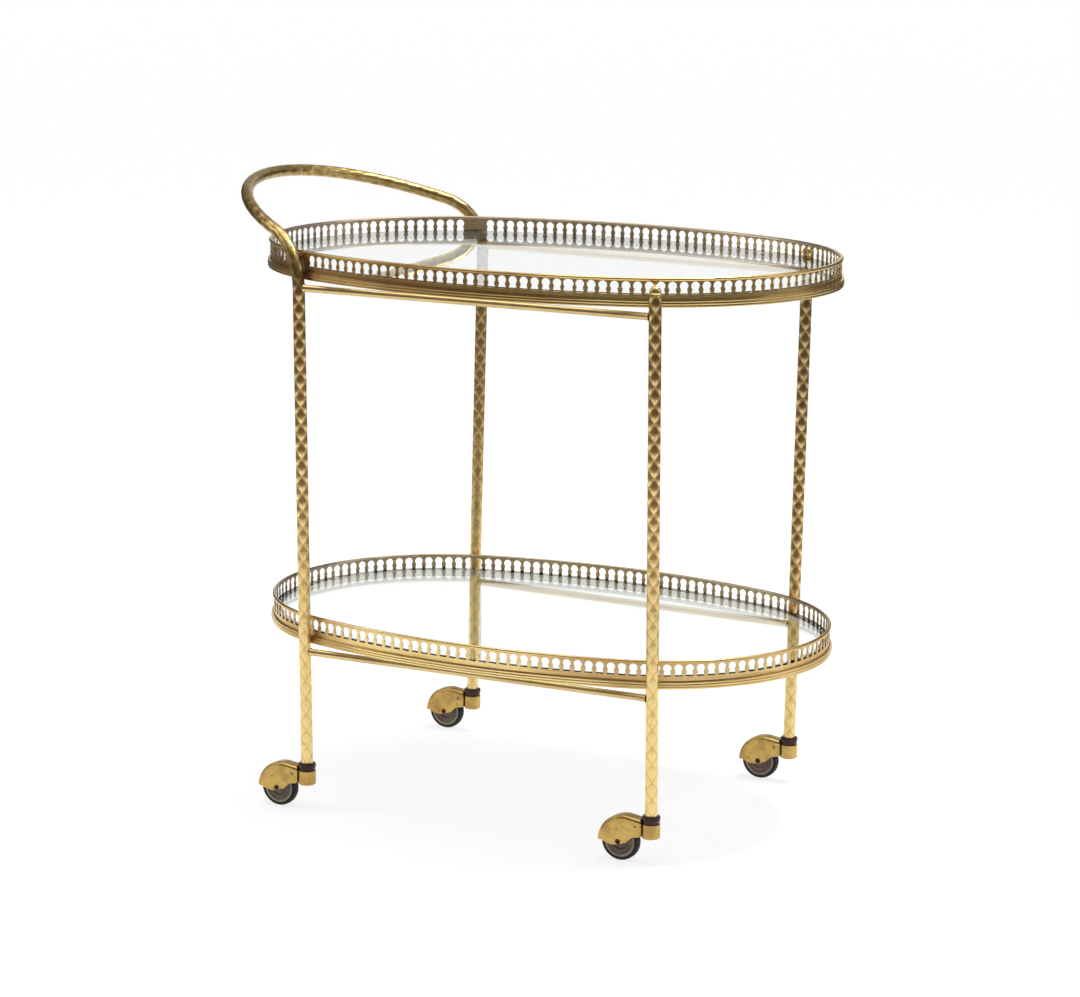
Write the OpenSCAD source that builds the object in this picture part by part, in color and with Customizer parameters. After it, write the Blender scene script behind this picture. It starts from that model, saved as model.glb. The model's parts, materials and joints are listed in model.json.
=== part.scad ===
// Oval two-tier dessert trolley in embossed brass tube. Millimetres, +Z up, floor at z = 0.
// The handle is at the -X end and the near side faces -Y.

/* [Trays] */
// Length of both trays over their galleries
tray_length = 668; // [640:1:720]
// Depth of the upper tray over its gallery
upper_depth = 476; // [462:1:500]
// How much less the radius of the upper tray's ends is than half its depth
upper_bow = 20; // [10:1:38]
// Height of the upper tray's underside
upper_z = 607.5; // [520:0.5:640]
// Depth of the lower tray over its gallery
lower_depth = 438; // [424:1:460]
// How much less the radius of the lower tray's ends is than half its depth
lower_bow = 19; // [10:1:34]
// Height of the lower tray's underside
lower_z = 193.5; // [150:0.5:300]
// Place of the upper tray's rim and gallery joints: the web between openings nearest to it
upper_seam_x = 40; // [10:1:80]
// Place of the lower tray's rim and gallery joints: the web between openings nearest to it
lower_seam_x = 55; // [10:1:80]
// Gap left between the butted ends of the two halves
seam_gap = 0.2; // [0.1:0.05:0.5]

/* [Rim] */
// Height of the reeded moulding round the rim
moulding_h = 8.5; // [7:0.5:11]
// How far the moulding stands out past the gallery
moulding_out = 3; // [2.4:0.1:4]
// Number of reeds along the moulding
reed_count = 3; // [2:1:4]
// How far the middle of the moulding stands proud of its edges
moulding_crown = 0.35; // [0:0.05:0.6]
// Thickness of the rim's floor under the gallery strip
rim_floor_t = 1.5; // [1:0.1:2]
// Thickness of the rim's inner web
web_t = 1.5; // [1:0.1:2]
// Thickness of the ledge that carries the glass
ledge_t = 1.4; // [1:0.1:2]
// Height of the ledge's top above the rim's underside
ledge_z = 9.4; // [8.6:0.1:11.5]
// Reach of the ledge inwards from the gallery's outer face
ledge_in = 10; // [7:0.5:14]

/* [Gallery] */
// Height of the gallery's top over the rim's underside
gallery_h = 31.5; // [31:0.5:36]
// Thickness of the pierced strip
strip_t = 1.2; // [0.8:0.1:1.6]
// Clearance between the strip and the rim's channel
strip_gap = 0.15; // [0.05:0.05:0.3]
// Radius of the bead along the gallery's top
bead_r = 1.9; // [1.4:0.1:2.2]
// Distance between neighbouring openings
opening_pitch = 12.2; // [11.6:0.1:15]
// Height of an opening's foot over the rim's underside
opening_z = 13.9; // [12:0.1:14]
// Height of an opening
opening_h = 13.4; // [12:0.1:13.6]
// Diameter of an opening's round head
opening_head_d = 9.2; // [7.5:0.1:9.8]
// Width of an opening's neck
opening_neck_w = 6.4; // [4:0.1:7.2]
// Height of the neck's lower end over the opening's foot
opening_neck_z = 6; // [4:0.1:6.5]
// Width of an opening's foot
opening_foot_w = 8.2; // [6.6:0.1:9]
// Height of the foot's upright edge
opening_foot_h = 2; // [0.5:0.1:3]
// Place along the upper tray of the one wider opening
wide_opening_x = 139; // [90:1:180]
// Extra width of the wider opening
wide_opening_extra = 2; // [1:0.1:2.4]

/* [Glass] */
// Thickness of the glass plates
glass_t = 5; // [4:0.5:6]
// Clearance between a glass edge and the gallery's bead, so that the plate lifts out
glass_gap = 0.3; // [0.2:0.1:1.5]

/* [Legs] */
// Diameter of the embossed tube
tube_d = 14; // [12:0.5:16]
// Wall of the embossed tube
tube_t = 1.2; // [0.8:0.1:2]
// Distance of the legs at the handle end from the trays' middle
left_leg_x = 204; // [185:1:215]
// Distance of the legs at the free end from the trays' middle
right_leg_x = 226; // [200:1:240]
// Gap between a leg and the moulding that it stands against
leg_gap = 0.3; // [0.2:0.05:0.6]
// Height of a free-end leg's top over the upper rim's underside
leg_top_rise = 13; // [10:0.5:18]
// Rise of the legs' feet over the wheel centres
foot_rise = 32.5; // [31.5:0.5:36]

/* [Handle] */
// How far the bend starts below the upper rim's underside
bend_drop = 10.2; // [8:0.2:14]
// Radius of the bend from the leg into the handle, along the tube's middle
bend_r = 63.5; // [55:0.5:75]
// Tilt of the handle's arch from upright
handle_tilt = 70.8; // [68:0.2:74]
// Angle at which each side of the arch starts inwards
handle_toe = 23.5; // [18:0.5:28]

/* [Finials] */
// Radius of the round top of a finial
finial_r = 6.2; // [5:0.1:7]
// Height of the finial's collar
finial_collar_h = 1.6; // [1:0.1:2.5]
// How far the collar is set in from the tube's face
finial_collar_in = 0.6; // [0.2:0.1:1]
// Radius of the finial's neck
finial_neck_r = 5; // [4:0.1:5.4]
// Rise of the round top's centre over the leg's end
finial_rise = 5; // [4:0.1:8]
// Clearance between the finial's plug and the rim screw below it
plug_clear = 0.7; // [0.4:0.1:2]
// Clearance of plugs and spigots in the tube
plug_gap = 0.2; // [0.1:0.05:0.3]

/* [Rails] */
// Diameter of the round rails between the legs
rail_d = 8; // [6:0.5:9]
// Height of a rail's middle under the rim's underside
rail_drop = 8.5; // [6:0.5:14]
// Gap between a rail's end and the leg that it meets
rail_gap = 0.1; // [0.05:0.05:0.3]

/* [Fasteners] */
// Radius of a screw's shank
screw_r = 1.5; // [1.2:0.1:1.8]
// Clearance of a screw in its hole
screw_gap = 0.1; // [0.05:0.05:0.2]
// Radius of a screw's head
screw_head_r = 2.8; // [2.3:0.1:3]
// Height of a rim screw's head
screw_head_h = 1.8; // [1.2:0.1:2.4]
// Height of a handle screw's flatter head, which the glass passes on its way out
handle_head_h = 1.1; // [0.8:0.1:1.2]
// Height of the rim screws over the rim's underside
rim_screw_z = 4.3; // [4.2:0.1:5]
// How far a screw's tip stands inside the tube
screw_tip = 2; // [1:0.5:4]
// Height of the handle screws over the upper rim's underside
handle_screw_z = 22.5; // [20:0.5:24]
// Outer radius of the spacers on the handle screws
spacer_r = 3.2; // [2.6:0.1:4]
// Gap between a spacer's end and the tube that it bears on
spacer_gap = 0.15; // [0.1:0.05:0.3]
// Gap between flat seats and the curved faces that they bear on
seat_gap = 0.05; // [0.05:0.05:0.15]

/* [Casters] */
// Radius of the tyre
wheel_r = 22; // [20:0.5:23]
// Width of the tyre
tyre_w = 11; // [9:0.5:12]
// Depth of the tyre's rubber
tyre_t = 3.6; // [3:0.2:5]
// Distance of the wheel's axle behind the swivel's axis
trail = 35.5; // [34.5:0.5:39]
// Radius of the axle
axle_r = 2.2; // [1.8:0.1:2.6]
// Radius of the hole through the axle
axle_bore_r = 1.2; // [0.8:0.1:1.4]
// Radius of the axle's flared ends
axle_head_r = 3.2; // [2.8:0.1:3.8]
// Thickness of the axle's flared ends
axle_head_t = 0.7; // [0.5:0.1:1.2]
// Running clearance of the wheel on its axle and the stem in its bush
running_gap = 0.05; // [0.02:0.01:0.08]
// Clearance between the wheel's hub and the hood's cheeks
hub_gap = 0.3; // [0.2:0.05:0.5]
// Radius of the wheel's hub
hub_r = 4.6; // [3.6:0.1:6]
// Radius of the raised ring on the wheel's disc
ring_r = 10.6; // [9:0.1:11.5]
// Width of the raised ring
ring_w = 1.8; // [1:0.1:3]
// How far the raised ring stands behind the wheel's edge
ring_in = 0.4; // [0:0.1:1.2]
// How far the wheel's edge is set in from the tyre's side
wheel_edge_in = 0.7; // [0.3:0.1:1.2]
// Width of the wheel's edge
wheel_edge_w = 2.4; // [1.5:0.1:3]
// How far the disc is set in from the wheel's edge
disc_in = 2; // [1:0.1:3]
// Rounding of the tyre's shoulders
tyre_round = 2.2; // [1:0.1:2.4]
// Width of the hood over its cheeks
hood_w = 18; // [16.5:0.5:20]
// Wall of the hood
hood_t = 1.2; // [0.8:0.1:1.6]
// Radius of the hood's back in side view
hood_r = 31.6; // [30.6:0.1:33]
// Rounding of the hood's shoulders
hood_round = 3.5; // [2.5:0.1:4.5]
// Distance of the hood's centre in front of the axle
hood_ahead = 6; // [5:0.5:8]
// Height of the hood's centre over the axle
hood_above = -1.6; // [-2.4:0.2:0]
// Fall of the hood's crown towards the leg
hood_fall = 8; // [4:0.5:12]
// Height of the hood's rear edge over the axle
hood_edge = -0.4; // [-1.2:0.1:1]
// Radius of the lobe that carries the axle
lobe_r = 27; // [24:0.5:30]
// Depth of the lobe below the axle
lobe_drop = 3.9; // [3:0.1:5]
// Distance of the lobe's lowest point behind the axle
lobe_back = 6.5; // [5:0.5:8]
// Distance before the axle at which the lower edge has risen to the cheek's front edge
rise_ahead = 17; // [15.5:0.1:18.5]
// Height of the cheek's front edge over the axle, where the rise ends
front_edge = 7; // [6:0.2:8.4]
// Slope of the cheek between the lobe and its front edge
cheek_slope = 43; // [38:1:48]
// Further rise of the front edge on its way to the leg's axis
cheek_rise = 3.6; // [2:0.2:5]
// Width of the bevel at the cheek's lower front corner
front_bevel = 1.8; // [1:0.1:2.6]
// Slope of that bevel
bevel_slope = 60; // [50:1:70]
// Distance between the hood's front end and the parts round the swivel's axis
hood_front = 1.9; // [1.2:0.1:2.6]
// Gap between the hood and the socket's tongue
hood_gap = 0.3; // [0.2:0.05:0.6]
// Radius of the rivet that holds the hood
rivet_r = 1.5; // [1:0.1:1.8]
// Distance of the rivet behind the swivel's axis
rivet_x = 15.4; // [14.5:0.1:17]
// Height of the rivet over the axle
rivet_z = 18.7; // [17:0.1:20]
// Height of the rivet's domed heads
rivet_head_h = 0.6; // [0.4:0.1:1]
// How far the rivet's heads stand out past its shank
rivet_lip = 0.7; // [0.4:0.1:1]
// Radius of the socket under the leg
socket_r = 10; // [9:0.1:10.5]
// Height of the socket
socket_h = 16.4; // [15:0.2:17]
// Rounding of the socket's lower edge
socket_round = 2.5; // [1:0.1:4]
// Radius of the bush between leg and socket
bush_r = 10; // [9:0.1:10.5]
// Height of the bush under the leg
bush_h = 8.8; // [8:0.2:10]
// Height of the bush's upper flange
bush_flange_h = 5.5; // [3:0.5:6]
// How far the bush's waist is set in
bush_waist = 0.8; // [0.4:0.1:1.5]
// Size of the bush's chamfers
bush_edge = 0.8; // [0.4:0.1:1]
// Length of the bush's spigot in the leg
spigot_l = 14; // [10:0.5:20]
// Radius of the swivel's stem
stem_r = 4; // [3:0.1:4.2]
// Length of the stem above the socket
stem_l = 22; // [16:0.5:23]
// Depth of the stem in the socket
stem_seat = 9; // [6:0.5:11]
// Clearance of the stem's lower end in the socket
stem_fit = 0.02; // [0.01:0.01:0.05]
// Clearance between the tyre and the tongue in front of it
wheel_clear = 1.5; // [1:0.1:2]
// How far the tongue's top is set below the socket's top
tongue_drop = 1; // [0.5:0.1:2]
// Gap between the bush and the socket that turns under it
swivel_gap = 0.3; // [0.2:0.05:0.6]

/* [Hidden] */
$fn = 96;

// A tray is its half length, half depth, end radius, underside height and seam place.
upper = [tray_length / 2, upper_depth / 2, upper_depth / 2 - upper_bow, upper_z, upper_seam_x];
lower = [tray_length / 2, lower_depth / 2, lower_depth / 2 - lower_bow, lower_z, lower_seam_x];

// Each tray is an oval of four arcs. The side arcs' radius, and the turn of an end arc:
function end_x(t) = t[0] - t[2];
function side_r(t) = (pow(end_x(t), 2) + t[1] * t[1] - t[2] * t[2]) / (2 * (t[1] - t[2]));
function side_y(t) = side_r(t) - t[1];
function end_turn(t) = atan2(side_y(t), end_x(t));

// Arc lengths along the gallery's face, from the middle of the near side towards +X
function arc_len(radius, angle) = radius * angle * PI / 180;
function arc_angle(radius, len) = len / radius * 180 / PI;
function side_len(t) = arc_len(side_r(t), 90 - end_turn(t));
function end_len(t) = arc_len(t[2], 2 * end_turn(t));
function half_len(t) = 2 * side_len(t) + end_len(t);

// Direction of the gallery's outward face at arc length s, up to the far side's middle
function face_dir(t, s) =
    s < side_len(t) ? -90 + arc_angle(side_r(t), s) :
    s < side_len(t) + end_len(t) ? -end_turn(t) + arc_angle(t[2], s - side_len(t)) :
    end_turn(t) + arc_angle(side_r(t), s - side_len(t) - end_len(t));

// Point of the oval, stepped out by off, whose face looks in direction dir on the +X side
function face_point(t, dir, off) =
    abs(dir) <= end_turn(t)
        ? [end_x(t) + (t[2] + off) * cos(dir), (t[2] + off) * sin(dir)]
        : [(side_r(t) + off) * cos(dir), (side_r(t) + off) * sin(dir) - sign(dir) * side_y(t)];

// Direction of the near face at distance x from the middle, on the oval stepped out by off
function dir_at(t, x, off) =
    x >= end_x(t) + (t[2] + off) * cos(end_turn(t))
        ? -acos((x - end_x(t)) / (t[2] + off))
        : -90 + asin(x / (side_r(t) + off));

// Arc length to the near face that looks in direction dir
function len_at(t, dir) =
    -dir <= end_turn(t) ? side_len(t) + arc_len(t[2], end_turn(t) + dir)
        : arc_len(side_r(t), 90 + dir);

// Swept pieces of one part overlap by bite_l, the one thinner than the other by bite_step.
bite_l = 0.5;
bite_step = 0.03;
reed_overlap = 0.05;
reed_margin = 0.1;

tube_r = tube_d / 2;
bore_r = tube_r - tube_t;
leg_off = moulding_out + leg_gap + tube_r;
wheel_z = wheel_r;
foot_z = wheel_z + foot_rise;
screw_hole_r = screw_r + screw_gap;

// The legs lean outwards as they rise from the narrower lower tray to the upper one.
function seat_y(t, x) = -face_point(t, dir_at(t, x, leg_off), leg_off)[1];
function leg_slope(x) = (seat_y(upper, x) - seat_y(lower, x)) / (upper_z - lower_z);
function leg_y(x, z) = seat_y(lower, x) + (z - lower_z - rim_screw_z) * leg_slope(x);

// The handle: a leg's line e, a bend towards k, then one round arch in a tilted plane along d.
bend_z = upper_z - bend_drop;
bend_start = [-left_leg_x, -leg_y(left_leg_x, bend_z), bend_z];
lean = atan(leg_slope(left_leg_x));
e = [0, -sin(lean), cos(lean)];
d = [-sin(handle_tilt), 0, cos(handle_tilt)];
arch_dir = d * cos(handle_toe) + [0, sin(handle_toe), 0];
bend_turn = acos(e * arch_dir);
k = (arch_dir - e * cos(bend_turn)) / sin(bend_turn);
function bend_point(turn) = bend_start + e * bend_r * sin(turn) + k * bend_r * (1 - cos(turn));
arch_start = bend_point(bend_turn);
arch_r = -arch_start[1] / cos(handle_toe);
arch_centre = arch_start - d * arch_r * sin(handle_toe) + [0, arch_r * cos(handle_toe), 0];
arch_first = d * sin(handle_toe) - [0, cos(handle_toe), 0];

// The whole trolley's box is centred on the origin, so the trays' middle lies at tray_x.
handle_reach = -(arch_centre + d * arch_r)[0] + tube_r;
rim_reach = tray_length / 2 + moulding_out;
tray_x = (handle_reach - rim_reach) / 2;

// Where the handle screw meets the bent tube, and the direction of the gallery's face there
handle_screw_turn = asin((handle_screw_z + bend_drop) / bend_r);
screw_on_tube = bend_point(handle_screw_turn);
end_screw_dir = atan2(screw_on_tube[1], -screw_on_tube[0] - end_x(upper));
handle_screw_dir = -end_screw_dir <= end_turn(upper) ? end_screw_dir
    : atan2(screw_on_tube[1] - side_y(upper), -screw_on_tube[0]);
screw_face = face_point(upper, handle_screw_dir, 0);
screw_reach = norm([-screw_on_tube[0], screw_on_tube[1]] - screw_face);

// The openings' rows are counted from the place of the handle legs, which is between two.
upper_start = len_at(upper, handle_screw_dir);
lower_start = len_at(lower, dir_at(lower, left_leg_x, leg_off));
wide_opening_s = len_at(upper, dir_at(upper, wide_opening_x, 0));

brass = [0.72, 0.58, 0.30];
pale_brass = [0.80, 0.68, 0.38];
dark_brass = [0.48, 0.36, 0.20];
dark_brown = [0.20, 0.10, 0.07];
disc_brown = [0.42, 0.36, 0.32];
rubber_black = [0.07, 0.07, 0.08];
glass_green = [0.85, 0.92, 0.88, 0.35];

module on_trays() {
    translate([tray_x, 0, 0]) children();
}

module near_or_far(side) {
    if (side == "far") mirror([0, 1, 0]) children();
    else children();
}

module left_or_right(end) {
    if (end == "left") mirror([1, 0, 0]) children();
    else children();
}

// Sweeps a profile (x = offset out of the gallery's face, y = height) from angle a0 to a1.
module sweep(centre, radius, a0, a1) {
    translate([centre[0], centre[1], 0]) rotate([0, 0, a0])
        rotate_extrude(angle = a1 - a0, $fn = 240) translate([radius, 0]) children();
}

module profile(kind, cut) {
    if (kind == "rim") rim_profile(cut);
    else strip_profile(cut);
}

// The openings' pitch on the free side, and the seam in the middle of the web nearest its place
function handle_count(t, start) = round((half_len(t) - 2 * start) / opening_pitch);
function free_count(t, start) = round((half_len(t) + 2 * start) / opening_pitch);
function handle_pitch(t, start) = (half_len(t) - 2 * start) / handle_count(t, start);
function free_pitch(t, start) = (half_len(t) + 2 * start) / free_count(t, start);
function seam_len(t, start) = round((arc_len(side_r(t), asin(t[4] / side_r(t))) + start)
    / free_pitch(t, start)) * free_pitch(t, start) - start;

// Sweeps a profile round one half of the oval, between its near and far seams. The end arc is
// in three. Its outer pieces are thinner by bite_step and bite a little way into their
// neighbours, so that all five fuse.
module half_ring(t, start, end, kind) {
    seam = arc_angle(side_r(t), seam_len(t, start)) * (end == "left" ? -1 : 1);
    trim = arc_angle(side_r(t), seam_gap / 2);
    bite = arc_angle(t[2], bite_l);
    middle = end_turn(t) / 3;
    translate([0, 0, t[3]]) left_or_right(end) {
        sweep([0, side_y(t)], side_r(t), 270 + seam + trim, 360 - end_turn(t)) profile(kind, 0);
        sweep([end_x(t), 0], t[2], -end_turn(t) - bite, bite - middle) profile(kind, bite_step);
        sweep([end_x(t), 0], t[2], -middle, middle) profile(kind, 0);
        sweep([end_x(t), 0], t[2], middle - bite, end_turn(t) + bite) profile(kind, bite_step);
        sweep([0, -side_y(t)], side_r(t), end_turn(t), 90 - seam - trim) profile(kind, 0);
    }
}

// Puts children on the +X side of a tray where its face looks in direction dir: +X is outwards.
module on_face(t, dir) {
    p = face_point(t, dir, 0);
    translate([p[0], p[1], t[3]]) rotate([0, 0, dir]) children();
}

// The same at a leg, where x is the leg's distance from the trays' middle
module at_leg(t, x) {
    on_face(t, dir_at(t, x, leg_off)) children();
}

module screw_hole(reach) {
    translate([-2 * ledge_in, 0, 0]) rotate([0, 90, 0])
        cylinder(r = screw_hole_r, h = 2 * ledge_in + reach);
}

module rim_screw_holes(t, end) {
    x = end == "left" ? left_leg_x : right_leg_x;
    left_or_right(end) for (side = ["near", "far"]) near_or_far(side)
        at_leg(t, x) translate([0, 0, rim_screw_z]) screw_hole(leg_off);
}

// A rectangle from corner p to corner q, stepped in by cut all round
module bar(p, q, cut) {
    translate(p + [cut, cut]) square(q - p - 2 * [cut, cut]);
}

// The rim: a channel for the strip, a ledge for the glass and a reeded moulding outside
module rim_profile(cut) {
    web_face = -strip_t - strip_gap;
    reed_r = moulding_h / reed_count / 2 + reed_overlap;
    reed_step = (moulding_h - 2 * reed_r - 2 * reed_margin) / (reed_count - 1);
    back_x = moulding_out - reed_r - moulding_crown;
    union() {
        bar([web_face - web_t, 0], [web_face, ledge_z], cut);
        bar([-ledge_in, ledge_z - ledge_t], [web_face, ledge_z], cut);
        bar([web_face - web_t, 0], [back_x, rim_floor_t], cut);
        bar([strip_gap, 0], [back_x, moulding_h], cut);
        for (i = [0 : reed_count - 1]) {
            from_middle = abs(2 * i - reed_count + 1) / (reed_count - 1);
            intersection() {
                translate([moulding_out - reed_r - moulding_crown * from_middle,
                    reed_margin + reed_r + reed_step * i]) circle(r = reed_r - cut, $fn = 32);
                bar([strip_gap, 0], [2 * moulding_out, moulding_h], cut);
            }
        }
    }
}

module rim(t, start, end) {
    color(dark_brass) on_trays() difference() {
        half_ring(t, start, end, "rim");
        rim_screw_holes(t, end);
    }
}

module strip_profile(cut) {
    union() {
        bar([-strip_t, rim_floor_t], [0, gallery_h - bead_r], cut);
        translate([-strip_t / 2, gallery_h - bead_r]) circle(r = bead_r - cut, $fn = 32);
    }
}

// One opening, cut outwards through the strip: a round head on a waisted foot, widened by extra
module opening(extra) {
    head_r = opening_head_d / 2;
    head_z = opening_h - head_r;
    half_neck = (opening_neck_w + extra) / 2;
    half_foot = (opening_foot_w + extra) / 2;
    translate([-2 * strip_t, 0, opening_z]) rotate([90, 0, 90])
        linear_extrude(3 * strip_t) union() {
            for (x = extra > 0 ? [-extra / 2, extra / 2] : [0])
                translate([x, head_z]) circle(r = head_r, $fn = 48);
            if (extra > 0) translate([-extra / 2, head_z]) square([extra, head_r - bite_step]);
            polygon([[-half_foot, 0], [half_foot, 0], [half_foot, opening_foot_h],
                [half_neck, opening_neck_z], [half_neck, head_z],
                [-half_neck, head_z], [-half_neck, opening_neck_z], [-half_foot, opening_foot_h]]);
        }
}

// The openings of one half. Their arc lengths are counted from start, which is the handle leg's
// place, and run on past the middle on the other side. Where the handle is screwed on, the
// nearest opening on each side is left out.
module openings(t, start, end, skip_leg, wide_s) {
    first = seam_len(t, start) * (end == "left" ? -1 : 1);
    last = half_len(t) - first;
    skipped = skip_leg && end == "left" ? 1 : 0;
    handle_n = handle_count(t, start) - 1;
    free_n = free_count(t, start) - 1;
    free_at = [for (i = [skipped : free_n - skipped]) (i + 0.5) * free_pitch(t, start)];
    // Lengths on this half: forwards on its own side, and past the middle from the other one
    own = end == "left"
        ? concat([for (i = [skipped : handle_n - skipped]) start + (i + 0.5) * handle_pitch(t, start)],
            [for (at = free_at) start - at],
            [for (at = free_at) half_len(t) - start + at])
        : [for (at = free_at) at - start];
    for (s = own) if (s > first && s < last) {
        wide = end == "right" && abs(s - wide_s) <= free_pitch(t, start) / 2;
        place_opening(t, end, s) opening(wide ? wide_opening_extra : 0);
    }
}

module place_opening(t, end, s) {
    half = half_len(t);
    left_or_right(end) {
        if (s < 0) mirror([1, 0, 0]) on_face(t, face_dir(t, -s)) children();
        else if (s > half) mirror([1, 0, 0]) on_face(t, face_dir(t, 2 * half - s)) children();
        else on_face(t, face_dir(t, s)) children();
    }
}

module gallery(t, start, end, skip_leg, wide_s) {
    color(brass) on_trays() difference() {
        half_ring(t, start, end, "strip");
        openings(t, start, end, skip_leg, wide_s);
        rim_screw_holes(t, end);
        if (skip_leg && end == "left") left_or_right(end)
            for (side = ["near", "far"]) near_or_far(side)
                on_face(t, handle_screw_dir) translate([0, 0, handle_screw_z]) screw_hole(tube_r);
    }
}

// A flat plate with the oval's outline, stepped in by inset. The two round ends lie inside the
// side arcs by bite_step.
module oval_plate(t, inset, thick) {
    turn_x = end_x(t) + (t[2] - inset) * cos(end_turn(t));
    linear_extrude(thick) union() {
        intersection() {
            translate([0, side_y(t)]) circle(r = side_r(t) - inset, $fn = 360);
            translate([0, -side_y(t)]) circle(r = side_r(t) - inset, $fn = 360);
            square([2 * turn_x, 2 * t[1]], center = true);
        }
        for (side = [-1, 1]) translate([side * end_x(t), 0])
            circle(r = t[2] - inset - bite_step, $fn = 360);
    }
}

module glass(t) {
    color(glass_green) on_trays() translate([0, 0, t[3] + ledge_z])
        oval_plate(t, strip_t / 2 + bead_r + glass_gap, glass_t);
}

// A cylinder along a near-side leg's line, from height z0 to height z1
module along_leg(x, r, z0, z1) {
    slope = leg_slope(abs(x));
    tilt = atan(slope);
    translate([x, -leg_y(abs(x), z0), z0]) rotate([tilt, 0, 0])
        cylinder(r = r, h = (z1 - z0) / cos(tilt));
}

module leg_holes(x) {
    end = x < 0 ? "left" : "right";
    for (t = [upper, lower]) left_or_right(end)
        at_leg(t, abs(x)) translate([0, 0, rim_screw_z]) screw_hole(leg_off);
}

// Everything below the foot's level, which cuts the leaning tube off flat
module below_foot() {
    translate([-tray_length, -upper_depth, 0]) cube([2 * tray_length, 2 * upper_depth, foot_z]);
}

module right_leg(side) {
    color(brass) on_trays() near_or_far(side) difference() {
        along_leg(right_leg_x, tube_r, foot_z - tube_d, upper_z + leg_top_rise);
        along_leg(right_leg_x, bore_r, foot_z - 2 * tube_d, upper_z + leg_top_rise + tube_d);
        below_foot();
        leg_holes(right_leg_x);
    }
}

// A frame whose X, Y and Z run along the given unit vectors
module frame_at(origin, x, y) {
    z = cross(x, y);
    multmatrix([[x[0], y[0], z[0], origin[0]], [x[1], y[1], z[1], origin[1]],
        [x[2], y[2], z[2], origin[2]]]) children();
}

// The bend, which bites into the leg and the arch as the ends of a rim do into its sides
module handle_bend(r) {
    bite = arc_angle(bend_r, bite_l);
    frame_at(bend_start + k * bend_r, -k, e) rotate([0, 0, -bite])
        rotate_extrude(angle = bend_turn + 2 * bite)
            translate([bend_r, 0]) circle(r = r - bite_step, $fn = 48);
}

module handle_arch(r) {
    frame_at(arch_centre, arch_first, arch_dir)
        rotate_extrude(angle = 180 - 2 * handle_toe, $fn = 180)
            translate([arch_r, 0]) circle(r = r, $fn = 48);
}

module handle_line(r, foot) {
    union() {
        for (side = ["near", "far"]) near_or_far(side) {
            along_leg(-left_leg_x, r, foot, bend_z);
            handle_bend(r);
        }
        handle_arch(r);
    }
}

module handle_frame() {
    color(brass) on_trays() difference() {
        handle_line(tube_r, foot_z - tube_d);
        handle_line(bore_r, foot_z - 2 * tube_d);
        below_foot();
        for (side = ["near", "far"]) near_or_far(side) {
            leg_holes(-left_leg_x);
            mirror([1, 0, 0]) on_face(upper, handle_screw_dir)
                translate([0, 0, handle_screw_z]) screw_hole(screw_reach);
        }
    }
}

module finial(side) {
    top_z = upper_z + leg_top_rise;
    plug_l = leg_top_rise - rim_screw_z - screw_r - plug_clear;
    color(brass) on_trays() near_or_far(side)
        translate([right_leg_x, -leg_y(right_leg_x, top_z), top_z])
            rotate([atan(leg_slope(right_leg_x)), 0, 0]) rotate_extrude() union() {
                translate([0, -plug_l]) square([bore_r - plug_gap, plug_l]);
                translate([0, seat_gap]) square([tube_r - finial_collar_in, finial_collar_h]);
                square([finial_neck_r, finial_rise]);
                intersection() {
                    translate([0, finial_rise]) circle(r = finial_r);
                    square([finial_r, finial_rise + finial_r]);
                }
            }
}

module rail(t, side) {
    z = t[3] - rail_drop;
    from = [-left_leg_x, -leg_y(left_leg_x, z), z];
    to = [right_leg_x, -leg_y(right_leg_x, z), z];
    span = to - from;
    color(pale_brass) on_trays() near_or_far(side) difference() {
        translate(from) rotate([0, 0, atan2(span[1], span[0])]) rotate([0, 90, 0])
            cylinder(d = rail_d, h = norm(span));
        along_leg(-left_leg_x, tube_r + rail_gap, z - tube_d, z + tube_d);
        along_leg(right_leg_x, tube_r + rail_gap, z - tube_d, z + tube_d);
    }
}

// A round-headed screw along +X: head below the seat at x = 0, tip at x = reach
module screw(reach, head_h) {
    rotate([0, 90, 0]) {
        translate([0, 0, -seat_gap - head_h / 2]) cylinder(r = screw_r,
            h = reach + seat_gap + head_h / 2);
        intersection() {
            translate([0, 0, -seat_gap - head_h]) cylinder(r = screw_head_r, h = head_h);
            translate([0, 0, -seat_gap + screw_head_r / 2]) sphere(r = head_h + screw_head_r / 2);
        }
    }
}

module rim_screws(t) {
    seat = -strip_t - strip_gap - web_t;
    reach = leg_off - bore_r + screw_tip - seat;
    color(pale_brass) on_trays() for (end = ["left", "right"]) left_or_right(end)
        for (side = ["near", "far"]) near_or_far(side)
            at_leg(t, end == "left" ? left_leg_x : right_leg_x)
                translate([seat, 0, rim_screw_z]) screw(reach, screw_head_h);
}

module at_handle_screws() {
    on_trays() for (side = ["near", "far"]) near_or_far(side) mirror([1, 0, 0])
        on_face(upper, handle_screw_dir) translate([0, 0, handle_screw_z]) children();
}

module handle_screws() {
    color(dark_brass) at_handle_screws() translate([-strip_t, 0, 0])
        screw(screw_reach + strip_t - bore_r + screw_tip, handle_head_h);
}

module handle_spacers() {
    color(pale_brass) at_handle_screws() translate([seat_gap, 0, 0]) rotate([0, 90, 0])
        difference() {
            cylinder(r = spacer_r, h = screw_reach - tube_r - seat_gap - spacer_gap);
            translate([0, 0, -1]) cylinder(r = screw_hole_r, h = screw_reach);
        }
}

// Puts a caster's parts under a leg: x = 0 is the swivel's axis, and the wheel trails to -X.
module at_caster(side, end) {
    x = end == "left" ? -left_leg_x : right_leg_x;
    on_trays() near_or_far(side) translate([x, -leg_y(abs(x), foot_z), 0]) children();
}

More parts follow.
